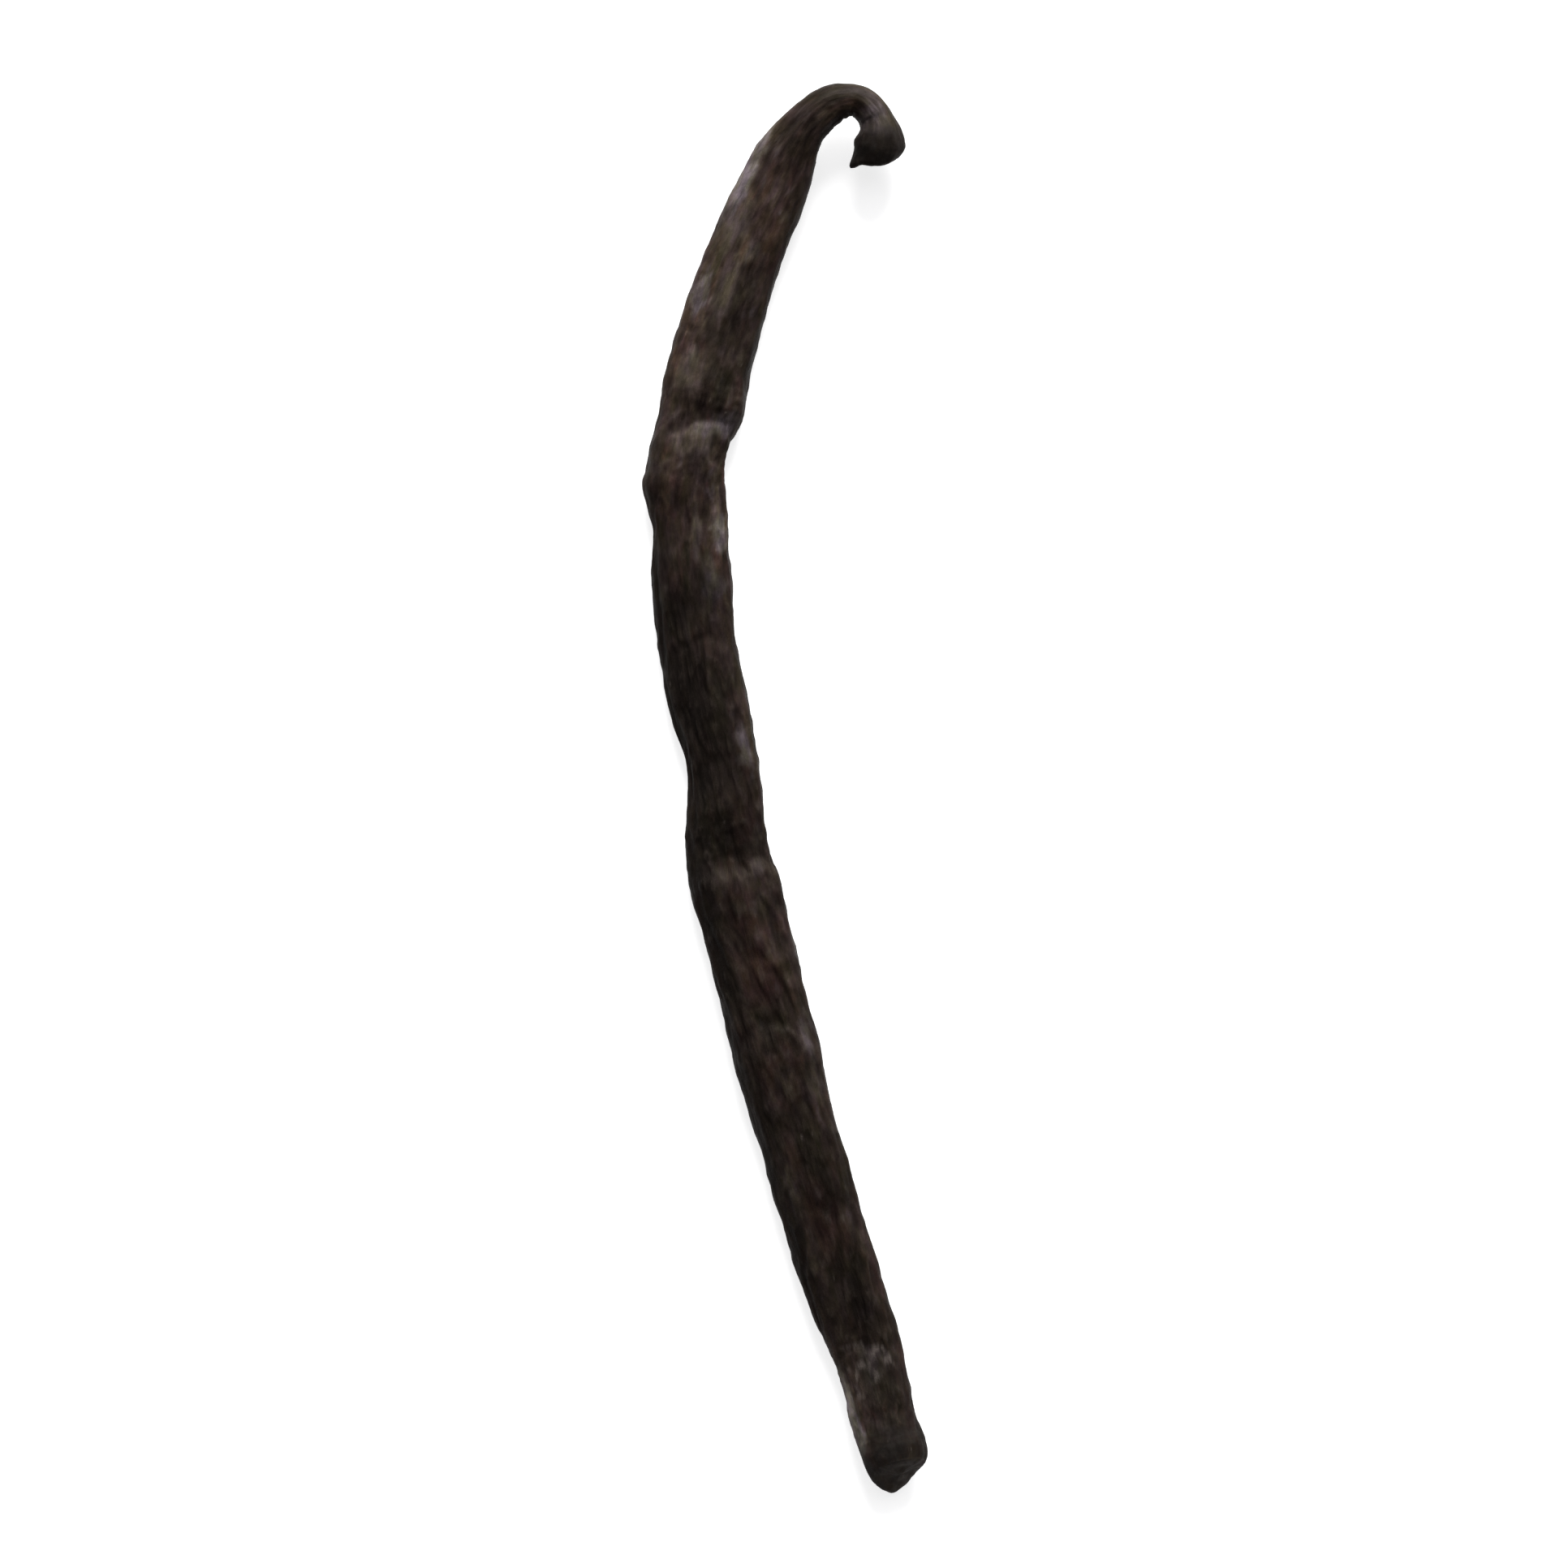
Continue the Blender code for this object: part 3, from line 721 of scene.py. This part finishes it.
# Broad lighter (+) and darker (-) reaches, all painted light and painted shade:
# sheen along the upper limb's left edge and on the hook, light on the flanks
# that face the window, shade on those that face away. Columns: place, across,
# half-length, half-width, how much
PAINTED_LIGHT_REACHES = (
    (22.0, -3.1, 9.5, 1.6, 1.35), (26.0, -0.9, 9.5, 2.2, 1.12),
    (25.0, 1.4, 9.0, 2.2, 0.74), (25.0, 3.3, 8.0, 1.4, 0.45), (43.0, -0.4, 6.0, 3.4, 0.15),
    (154.0, -3.3, 5.0, 1.0, 1.45), (157.8, -3.1, 2.6, 1.1, 1.20), (161.0, 0.0, 2.4, 4.0, 0.12),
    (31.0, -3.2, 6.0, 1.4, 1.05), (5.8, -0.1, 1.7, 1.8, 0.80),
    (39.0, -3.5, 8.0, 1.5, 1.80), (37.0, -0.9, 8.0, 1.8, 0.40),
    (57.0, 3.4, 5.5, 1.4, 0.90), (57.5, 1.0, 5.0, 2.0, 0.55),
    (50.0, 0.8, 3.2, 3.2, 0.66), (66.5, 3.2, 7.0, 1.4, 0.35),
    (66.0, -3.4, 8.0, 1.6, -0.45), (55.0, -2.4, 6.5, 2.6, 0.85), (73.0, -2.0, 7.5, 3.0, -0.60),
    (83.0, -1.4, 8.0, 3.4, -0.80), (90.0, -3.0, 7.0, 1.8, -0.50),
    (82.0, 3.6, 5.0, 1.0, 0.35), (101.0, -3.6, 11.0, 1.7, -0.85),
    (93.0, 0.6, 2.4, 3.2, -1.00), (100.0, -0.5, 4.0, 1.2, -0.15), (118.0, -3.6, 11.0, 1.6, -0.75),
    (118.6, 2.6, 4.0, 1.6, 0.30), (128.0, 0.4, 7.0, 2.6, -0.30),
    (144.0, 0.6, 8.0, 3.4, -0.55), (153.0, 1.2, 5.0, 3.0, -0.40), (136.0, -3.6, 11.0, 1.5, -0.70),
    (126.0, 1.5, 14.0, 3.0, -0.30), (112.5, 0.6, 4.0, 2.4, -0.40),
    (9.0, -1.3, 4.5, 0.9, 0.00), (4.9, 0.3, 2.4, 3.0, 0.95),
    (1.4, 0.9, 2.6, 2.6, -0.50), (9.4, 0.8, 3.0, 1.4, 0.15),
    (15.5, 0.6, 3.6, 2.0, 0.10), (112.0, 1.6, 8.0, 2.2, 0.34),
)

across = outline(route, s_grid, angles)[0]
upper = smooth(-0.35, 0.10, np.sin(angles))
ragged = (0.42 * layers(s_grid, v_grid, 2.6, 9, 4, 331)
          + 0.30 * (crests - 0.6))
tones = []
for kind in range(6):
    long = (5.5, 4.6, 2.6, 3.4, 4.2, 6.0)[kind]
    drift = layers(s_grid, v_grid, long, (8, 9, 13, 9, 9, 7)[kind], 4,
                   341 + 9 * kind, 0.6)
    start = (0.05, 0.05, 0.20, 0.55, 0.05, 0.00)[kind]
    most = (0.60, 0.60, 0.45, 0.30, 0.55, 0.50)[kind]
    weight = most * smooth(start, start + 0.55, drift + 0.25 * (crests - 0.6))
    for tone, at, over, half_long, half_wide, strength in PATCHES:
        if tone != kind:
            continue
        far = np.hypot((s_grid - at) / half_long, (across - over) / half_wide)
        spot = min(1.0, 1.15 * strength) * smooth(1.45, 0.55, far + ragged) * upper
        weight = weight + (1.0 - weight) * spot
    tones.append(np.clip(weight, 0.0, 1.0))

# painted light and shade: a gain on the skin's colour from the reaches and the flanks
painted_light_gain = np.zeros_like(s_grid)
sides_too = smooth(-0.90, -0.35, np.sin(angles))
for at, over, half_long, half_wide, much in PAINTED_LIGHT_REACHES:
    painted_light_gain += much * sides_too * bump((s_grid - at) / (0.62 * half_long)) * bump(
        (across - over) / (0.62 * half_wide))
# painted shade: the side away from the window is duller all along the lower limb
painted_light_gain -= (0.52 * sides_too * smooth(-2.4, -4.3, across)
         * smooth(58.0, 70.0, s_grid) * (1.0 - smooth(138.0, 148.0, s_grid)))
painted_light_gain -= (0.72 * sides_too * smooth(-3.4, -4.5, across)
         * smooth(58.0, 66.0, s_grid) * (1.0 - smooth(138.0, 146.0, s_grid)))
# painted light: the side towards the window is lighter along the lower limb
painted_light_gain += (0.30 * sides_too * smooth(1.8, 4.0, across)
         * smooth(50.0, 60.0, s_grid) * (1.0 - smooth(140.0, 152.0, s_grid)))
painted_light_gain = np.clip(0.5 + 0.42 * painted_light_gain * (1.0 + 0.4 * ragged), 0.0, 1.0)

# dry ends: the stem knob and the blossom end are duller
dry = (1.0 - smooth(1.5, 7.0, s_grid)) + smooth(
    length - 6.4, length - 2.6, s_grid + 0.9 * layers(s_grid, v_grid, 2.4, 5, 3, 351))
dry = np.clip(dry, 0.0, 1.0)

# scuffs: pale flakes just before the blossom end, a few along the body
speck = layers(s_grid, v_grid, 1.35, 19, 4, 401, 0.65)
place = (bump((s_grid - 149.6) / 1.7) * bump((across - 0.7) / 1.9)
         + 0.55 * bump((s_grid - 151.6) / 2.4) * bump((across + 1.7) / 0.9)
         + 0.45 * bump((s_grid - 17.9) / 0.5) * bump((across + 1.8) / 0.4)
         + 0.40 * bump((s_grid - 115.6) / 2.4) * bump((across - 1.0) / 2.6)
         + 0.35 * bump((s_grid - 8.0) / 2.6) * bump((across + 1.2) / 0.8))
scuff = 0.56 * smooth(0.50, 1.15, speck * 0.80 + place * 0.66) * smooth(0.10, 0.60, place)
stray = smooth(0.86, 1.15, layers(s_grid, v_grid, 1.5, 17, 2, 411, 0.7)) * 0.55
scuff = np.clip(scuff + stray * smooth(0.55, 0.9, crests), 0.0, 1.0)


def packed(name, *fields):
    """Three body fields as one vector; end faces take the given values."""
    columns = [spread(f, v0, v1) for f, v0, v1 in fields]
    triple(name, np.stack(columns, -1))


packed("relief", (crests, 0.55, 0.55), (deep, 0.50, 0.45), (tiny, 0.5, 0.5))
packed("tones_a", (tones[0], 0.1, 0.0), (tones[1], 0.2, 0.25), (tones[2], 0.1, 0.05))
packed("tones_b", (tones[3], 0.0, 0.06), (tones[4], 0.7, 0.05), (tones[5], 0.2, 0.15))
# dry, scuffs and the painted light and shade; the end faces take a lighter painted gain, the blossom end face
# most
packed("wear_and_painted_light", (dry, 0.8, 1.0), (scuff, 0.0, 0.0), (painted_light_gain, 0.55, 0.80))

# where the skin is mottled instead of streaked
mottled = np.clip(1.0 - smooth(8.0, 17.0, s_grid)
                  + smooth(length - 6.0, length - 2.0, s_grid), 0.0, 1.0)
number("mottled", spread(0.85 * mottled, 0.85, 0.85))

# where a point lies on the unrolled skin, in millimetres, for fine patterns
radius = (girth / (2.0 * math.pi))[:, None]
roll = np.stack([s_grid, radius * np.cos(2 * math.pi * v_grid),
                 radius * np.sin(2 * math.pi * v_grid)], -1)
cap0 = np.zeros((CAP_RINGS, SIDES, 3))
cap1 = np.zeros((CAP_RINGS, SIDES, 3))
for k in range(CAP_RINGS):
    share = CAP_SHARES[k]
    cap0[CAP_RINGS - 1 - k] = roll[0] * [1, share, share] - [2.0 * (1 - share), 0, 0]
    cap1[k] = roll[-1] * [1, share, share] + [2.0 * (1 - share), 0, 0]
rolled = np.concatenate([cap0, roll, cap1]).reshape(-1, 3)
rolled = np.concatenate([rolled, [[-2.0, 0, 0], [length + 2.0, 0, 0]]])
triple("unrolled", rolled)

# ---------------------------------------------------------------- bake map
def lay_out():
    """Three strips of unrolled skin and two discs, packed in one square."""
    layer = mesh.uv_layers.new(name="OFBake")
    gap = 0.008
    band = (1.0 - 4 * gap) / 3.0
    scale = 0.80
    rows_at = np.concatenate([np.zeros(CAP_RINGS), places,
                              np.full(CAP_RINGS, length)])
    third = length / 3.0
    uv = np.zeros((len(mesh.loops), 2))
    loop_vert = np.empty(len(mesh.loops), np.int64)
    mesh.loops.foreach_get("vertex_index", loop_vert)
    starts = np.empty(len(mesh.polygons), np.int64)
    sizes = np.empty(len(mesh.polygons), np.int64)
    mesh.polygons.foreach_get("loop_start", starts)
    mesh.polygons.foreach_get("loop_total", sizes)
    n_grid = total_rows * SIDES
    for start, size in zip(starts, sizes):
        verts = loop_vert[start:start + size]
        grid = verts[verts < n_grid]
        row, col = grid // SIDES, grid % SIDES
        lowest = row.min()
        if size == 3 or lowest < CAP_RINGS or row.max() >= CAP_RINGS + RINGS:
            if verts.max() == n_grid or (size == 4 and lowest < CAP_RINGS):
                middle, reach, near = (0.91, 0.80), 0.066, True
            elif size == 3 and verts.max() == n_grid + 1 or size == 4:
                middle, reach, near = (0.91, 0.60), 0.080, False
            for i in range(size):
                vert = loop_vert[start + i]
                if vert >= n_grid:
                    share, angle = 0.0, 0.0
                else:
                    r, c = vert // SIDES, vert % SIDES
                    depth = CAP_RINGS - r if near else r - CAP_RINGS - RINGS + 1
                    share = CAP_SHARES[depth - 1] if depth > 0 else 1.0
                    angle = 2.0 * math.pi * c / SIDES
                uv[start + i] = (middle[0] + reach * share * math.cos(angle),
                                 middle[1] + reach * share * math.sin(angle))
            continue
        wrap = col.min() == 0 and col.max() == SIDES - 1
        at = rows_at[row]
        strip = min(int((at.mean()) / third), 2)
        for i in range(size):
            r, c = loop_vert[start + i] // SIDES, loop_vert[start + i] % SIDES
            if wrap and c == 0:
                c = SIDES
            uv[start + i] = (0.012 + (rows_at[r] - strip * third) / third * scale,
                             gap + strip * (band + gap) + band * c / SIDES)
    layer.data.foreach_set("uv", uv.ravel())


lay_out()
mesh.shade_smooth()
pod = bpy.data.objects.new("vanilla_pod_skin", mesh)
bpy.context.scene.collection.objects.link(pod)


# ---------------------------------------------------------------- material
class Nodes:
    """Short names for the nodes used here."""

    def __init__(self, material):
        material.use_nodes = True
        self.tree = material.node_tree
        self.tree.nodes.clear()

    def make(self, kind, **settings):
        node = self.tree.nodes.new(kind)
        for key, value in settings.items():
            setattr(node, key, value)
        return node

    def link(self, a, b):
        self.tree.links.new(a, b)

    def attribute(self, name, vector=False):
        node = self.make("ShaderNodeAttribute", attribute_name=name,
                         attribute_type="GEOMETRY")
        return node.outputs["Vector" if vector else "Fac"]

    def three(self, name):
        node = self.make("ShaderNodeSeparateXYZ")
        self.link(self.attribute(name, vector=True), node.inputs[0])
        return node.outputs[0], node.outputs[1], node.outputs[2]

    def tinted(self, colour, by):
        node = self.make("ShaderNodeVectorMath", operation="SCALE")
        if isinstance(colour, tuple):
            node.inputs[0].default_value = colour
        else:
            self.link(colour, node.inputs[0])
        self.link(by, node.inputs["Scale"])
        return node.outputs[0]

    def math(self, kind, a, b=None, clamp=False):
        node = self.make("ShaderNodeMath", operation=kind, use_clamp=clamp)
        for slot, value in ((0, a), (1, b)):
            if value is None:
                continue
            if isinstance(value, (int, float)):
                node.inputs[slot].default_value = value
            else:
                self.link(value, node.inputs[slot])
        return node.outputs[0]

    def span(self, value, a, b, c=0.0, d=1.0, kind="SMOOTHSTEP"):
        node = self.make("ShaderNodeMapRange", interpolation_type=kind)
        self.link(value, node.inputs["Value"])
        node.inputs["From Min"].default_value = a
        node.inputs["From Max"].default_value = b
        node.inputs["To Min"].default_value = c
        node.inputs["To Max"].default_value = d
        return node.outputs["Result"]

    def scaled(self, vector, by):
        node = self.make("ShaderNodeVectorMath", operation="MULTIPLY")
        self.link(vector, node.inputs[0])
        node.inputs[1].default_value = by
        return node.outputs[0]

    def noise(self, vector, scale, detail=3.0, rough=0.55):
        node = self.make("ShaderNodeTexNoise")
        self.link(vector, node.inputs["Vector"])
        node.inputs["Scale"].default_value = scale
        node.inputs["Detail"].default_value = detail
        node.inputs["Roughness"].default_value = rough
        return node.outputs["Fac"]

    def blend(self, share, a, b, kind="MIX"):
        node = self.make("ShaderNodeMix", data_type="RGBA", blend_type=kind)
        node.clamp_factor = True
        if isinstance(share, (int, float)):
            node.inputs[0].default_value = share
        else:
            self.link(share, node.inputs[0])
        for slot, value in ((6, a), (7, b)):
            if isinstance(value, tuple):
                node.inputs[slot].default_value = (*value, 1.0)
            else:
                self.link(value, node.inputs[slot])
        return node.outputs[2]


def skin_material():
    material = bpy.data.materials.new("cured_pod_skin")
    n = Nodes(material)
    out = n.make("ShaderNodeOutputMaterial")
    shader = n.make("ShaderNodeBsdfPrincipled")
    n.link(shader.outputs[0], out.inputs[0])
    crest_at, deep_at, tiny_at = n.three("relief")
    red_at, olive_at, tan_at = n.three("tones_a")
    pale_and_sheen_at, dark_at, mauve_at = n.three("tones_b")
    dry_at, scuff_at, painted_light_at = n.three("wear_and_painted_light")
    plain_at = n.attribute("mottled")
    where = n.attribute("unrolled", vector=True)

    streaks = n.noise(n.scaled(where, (0.30, 1.0, 1.0)), 2.0, 5.0, 0.62)
    fibres = n.noise(n.scaled(where, (0.16, 1.0, 1.0)), 6.0, 4.0, 0.65)
    mottle = n.noise(n.scaled(where, (0.60, 1.0, 1.0)), 0.8, 5.0, 0.62)
    clouds = n.noise(n.scaled(where, (0.45, 1.0, 1.0)), 0.42, 3.0, 0.55)
    lumps = n.noise(n.scaled(where, (1.0, 1.0, 1.0)), 1.3, 4.0, 0.6)
    # the hook and the ends are mottled, not streaked
    streaks = n.math("ADD", n.math("MULTIPLY", streaks, n.math("SUBTRACT", 1.0, plain_at)),
                     n.math("MULTIPLY", lumps, plain_at))
    fibres = n.math("ADD", n.math("MULTIPLY", fibres, n.math("SUBTRACT", 1.0, plain_at)),
                    n.math("MULTIPLY", lumps, plain_at))
    grain = n.noise(where, 8.0, 4.0, 0.65)
    break_up = n.span(streaks, 0.34, 0.66, 0.66, 1.18)

    # the skin's own tones, each broken up along the fibres; the pale tone is partly painted sheen
    base = n.blend(n.span(mottle, 0.36, 0.64), SKIN_A, SKIN_B)
    for share, colour in ((mauve_at, MAUVE_C), (olive_at, OLIVE_C),
                          (red_at, RED_C), (tan_at, TAN_C), (pale_and_sheen_at, PALE_AND_SHEEN_C),
                          (dark_at, DARK_C)):
        base = n.blend(n.math("MULTIPLY", share, break_up), base, colour)

    # grooves hold oil and dark dust and take painted shade from how deep they lie, crests are rubbed paler
    shade = n.math("MULTIPLY", n.span(crest_at, 0.0, 0.75, 0.85, 1.04),
                   n.span(deep_at, 0.10, 0.85, 0.84, 1.08))
    shade = n.math("MULTIPLY", shade, n.span(fibres, 0.30, 0.70, 0.90, 1.11))
    # painted light and shade over broad reaches: half as light to about three times as light
    shade = n.math("MULTIPLY", shade, n.math("POWER", 9.0, n.math("SUBTRACT", painted_light_at, 0.5)))
    shade = n.math("MULTIPLY", shade, n.span(grain, 0.28, 0.72, 0.89, 1.11))
    shade = n.math("MULTIPLY", shade, n.span(mottle, 0.34, 0.66, 0.80, 1.21))
    shade = n.math("MULTIPLY", shade, n.span(clouds, 0.34, 0.66, 0.72, 1.30))
    base = n.tinted(base, shade)
    # the skin drifts between olive and mauve over a few millimetres
    drift = n.noise(n.scaled(where, (0.42, 1.0, 1.0)), 0.95, 4.0, 0.62)
    drift_tint = n.blend(n.span(drift, 0.36, 0.64), (1.02, 0.97, 1.15), (0.99, 1.03, 0.87))
    base = n.blend(1.0, base, drift_tint, "MULTIPLY")
    worn = n.math("MULTIPLY", n.span(tiny_at, 0.56, 0.95), n.span(streaks, 0.46, 0.62))
    base = n.blend(n.math("MULTIPLY", worn, 0.26), base, TAN_C)
    # the dry ends take the painted light and shade as well
    base = n.blend(n.math("MULTIPLY", dry_at, n.span(mottle, 0.40, 0.62, 0.25, 0.80)),
                   base, n.tinted(DRY_C, n.math("MULTIPLY",
                       n.span(streaks, 0.36, 0.64, 0.62, 1.40),
                       n.math("POWER", 9.0, n.math("SUBTRACT", painted_light_at, 0.5)))))
    base = n.blend(n.math("MULTIPLY", scuff_at, n.span(grain, 0.30, 0.60, 0.35, 0.95)),
                   base, SCUFF_C)
    n.link(base, shader.inputs["Base Color"])

    # roughness: satin crests, dull dusty patches and ends, oil in places
    rough = n.span(mottle, 0.30, 0.70, ROUGH - 0.06, ROUGH + 0.10, "LINEAR")
    rough = n.math("ADD", rough, n.math("MULTIPLY", n.math("SUBTRACT", grain, 0.5), 0.26))
    rough = n.math("ADD", rough, n.math("MULTIPLY", pale_and_sheen_at, 0.08))
    rough = n.math("ADD", rough, n.math("MULTIPLY", n.math("SUBTRACT", 0.7, crest_at), 0.14))
    rough = n.math("ADD", rough, n.math("MULTIPLY", dry_at, 0.14))
    rough = n.math("ADD", rough, n.math("MULTIPLY", scuff_at, 0.2), clamp=True)
    n.link(rough, shader.inputs["Roughness"])
    shader.inputs["Specular IOR Level"].default_value = SPECULAR
    shader.inputs["Specular Tint"].default_value = (1.0, 0.85, 0.73, 1.0)
    shader.inputs["IOR"].default_value = 1.45

    # the finest relief: thread-like lines along the pod and a leathery grain
    threads = n.noise(n.scaled(where, (0.13, 1.0, 1.0)), 5.2, 4.0, 0.6)
    pores = n.noise(n.scaled(where, (0.6, 1.0, 1.0)), 13.0, 3.0, 0.6)
    lines = n.make("ShaderNodeBump")
    lines.inputs["Strength"].default_value = 0.55
    lines.inputs["Distance"].default_value = 0.00016
    n.link(n.math("MULTIPLY", threads, n.math("SUBTRACT", 1.0, plain_at)),
           lines.inputs["Height"])
    grainy = n.make("ShaderNodeBump")
    grainy.inputs["Strength"].default_value = 0.55
    grainy.inputs["Distance"].default_value = 0.00005
    n.link(pores, grainy.inputs["Height"])
    n.link(lines.outputs[0], grainy.inputs["Normal"])
    n.link(grainy.outputs[0], shader.inputs["Normal"])
    return material


SKIN_A = (0.0098, 0.0061, 0.0045)
SKIN_B = (0.0130, 0.0086, 0.0068)
MAUVE_C = (0.0150, 0.0101, 0.0090)
OLIVE_C = (0.0078, 0.0064, 0.0031)
RED_C = (0.0146, 0.0070, 0.0056)
TAN_C = (0.0262, 0.0206, 0.0170)
# pale tone: partly pale bloom, partly painted sheen
PALE_AND_SHEEN_C = (0.0445, 0.0380, 0.0362)
DARK_C = (0.0040, 0.0022, 0.0017)
DRY_C = (0.0088, 0.0082, 0.0076)
SCUFF_C = (0.0900, 0.0760, 0.0690)
SPECULAR = 0.10
ROUGH = 0.52

mesh.materials.append(skin_material())
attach(pod, "root")
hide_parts("vanilla_pod")

# ---------------------------------------------------------------- stage
def plain_material(name, colour, rough, glow):
    material = bpy.data.materials.new(name)
    material.use_nodes = True
    shader = material.node_tree.nodes["Principled BSDF"]
    shader.inputs["Base Color"].default_value = (*colour, 1.0)
    shader.inputs["Roughness"].default_value = rough
    shader.inputs["Specular IOR Level"].default_value = 0.1
    shader.inputs["Emission Color"].default_value = (1.0, 1.0, 1.0, 1.0)
    shader.inputs["Emission Strength"].default_value = glow
    return material


bpy.ops.mesh.primitive_plane_add(size=6.0, location=(0.0, 0.0, -0.00003))
floor = bpy.context.object
floor.name = "floor"
floor.data.materials.append(plain_material("pale_floor", (0.55, 0.55, 0.555), 0.9, 0.72))


def sun(name, direction, strength, angle, colour=(1.0, 1.0, 1.0)):
    data = bpy.data.lights.new(name, "SUN")
    data.energy = strength
    data.angle = math.radians(angle)
    data.color = colour
    lamp = bpy.data.objects.new(name, data)
    lamp.rotation_euler = Vector(direction).to_track_quat("Z", "Y").to_euler()
    bpy.context.scene.collection.objects.link(lamp)


sun("window", (0.08, 1.0, 0.58), 5.3, 30.0, (1.0, 0.99, 0.975))

# a room that is bright low down, brightest behind the window light, and dim
# straight above
world = bpy.data.worlds.new("pale_room")
bpy.context.scene.world = world
world.use_nodes = True
tree = world.node_tree
tree.nodes.clear()
world_out = tree.nodes.new("ShaderNodeOutputWorld")
back = tree.nodes.new("ShaderNodeBackground")
place_at = tree.nodes.new("ShaderNodeTexCoord")
split = tree.nodes.new("ShaderNodeSeparateXYZ")
height_ramp = tree.nodes.new("ShaderNodeValToRGB")
facing_dot = tree.nodes.new("ShaderNodeVectorMath")
facing_dot.operation = "DOT_PRODUCT"
facing_dot.inputs[1].default_value = Vector((0.10, 1.0, 0.45)).normalized()
lobe = tree.nodes.new("ShaderNodeMapRange")
lobe.interpolation_type = "SMOOTHSTEP"
lobe.inputs["From Min"].default_value = 0.25
lobe.inputs["From Max"].default_value = 1.0
lobe.inputs["To Min"].default_value = 0.0
lobe.inputs["To Max"].default_value = 1.3
total = tree.nodes.new("ShaderNodeVectorMath")
total.operation = "ADD"
tree.links.new(place_at.outputs["Generated"], split.inputs[0])
tree.links.new(split.outputs["Z"], height_ramp.inputs[0])
tree.links.new(place_at.outputs["Generated"], facing_dot.inputs[0])
tree.links.new(facing_dot.outputs["Value"], lobe.inputs["Value"])
tree.links.new(height_ramp.outputs[0], total.inputs[0])
tree.links.new(lobe.outputs["Result"], total.inputs[1])
tree.links.new(total.outputs[0], back.inputs[0])
tree.links.new(back.outputs[0], world_out.inputs[0])
height_ramp.color_ramp.interpolation = "EASE"
height_ramp.color_ramp.elements[0].position = 0.05
height_ramp.color_ramp.elements[0].color = (0.42, 0.42, 0.43, 1.0)
height_ramp.color_ramp.elements[1].position = 0.75
height_ramp.color_ramp.elements[1].color = (0.12, 0.12, 0.125, 1.0)
back.inputs[1].default_value = 1.0

# ---------------------------------------------------------------- camera
camera_data = bpy.data.cameras.new("camera")
camera_data.lens = 135.0
camera_data.sensor_width = 36.0
camera_data.clip_start = 0.01
camera_data.clip_end = 20.0
camera = bpy.data.objects.new("camera", camera_data)
bpy.context.scene.collection.objects.link(camera)
bpy.context.scene.camera = camera
ELEVATION = math.radians(86.0)
SPAN = 0.166                      # what the frame shows, top to bottom
distance = SPAN * camera_data.lens / camera_data.sensor_width
target = Vector((0.0, 0.0, 0.002))
camera.location = target + Vector((0.0, -math.cos(ELEVATION),
                                   math.sin(ELEVATION))) * distance
camera.rotation_euler = (target - camera.location).to_track_quat("-Z", "Y").to_euler()

scene = bpy.context.scene
scene.view_settings.view_transform = "Standard"
scene.view_settings.look = "None"
scene.view_settings.exposure = 0.0
scene.view_settings.gamma = 1.0
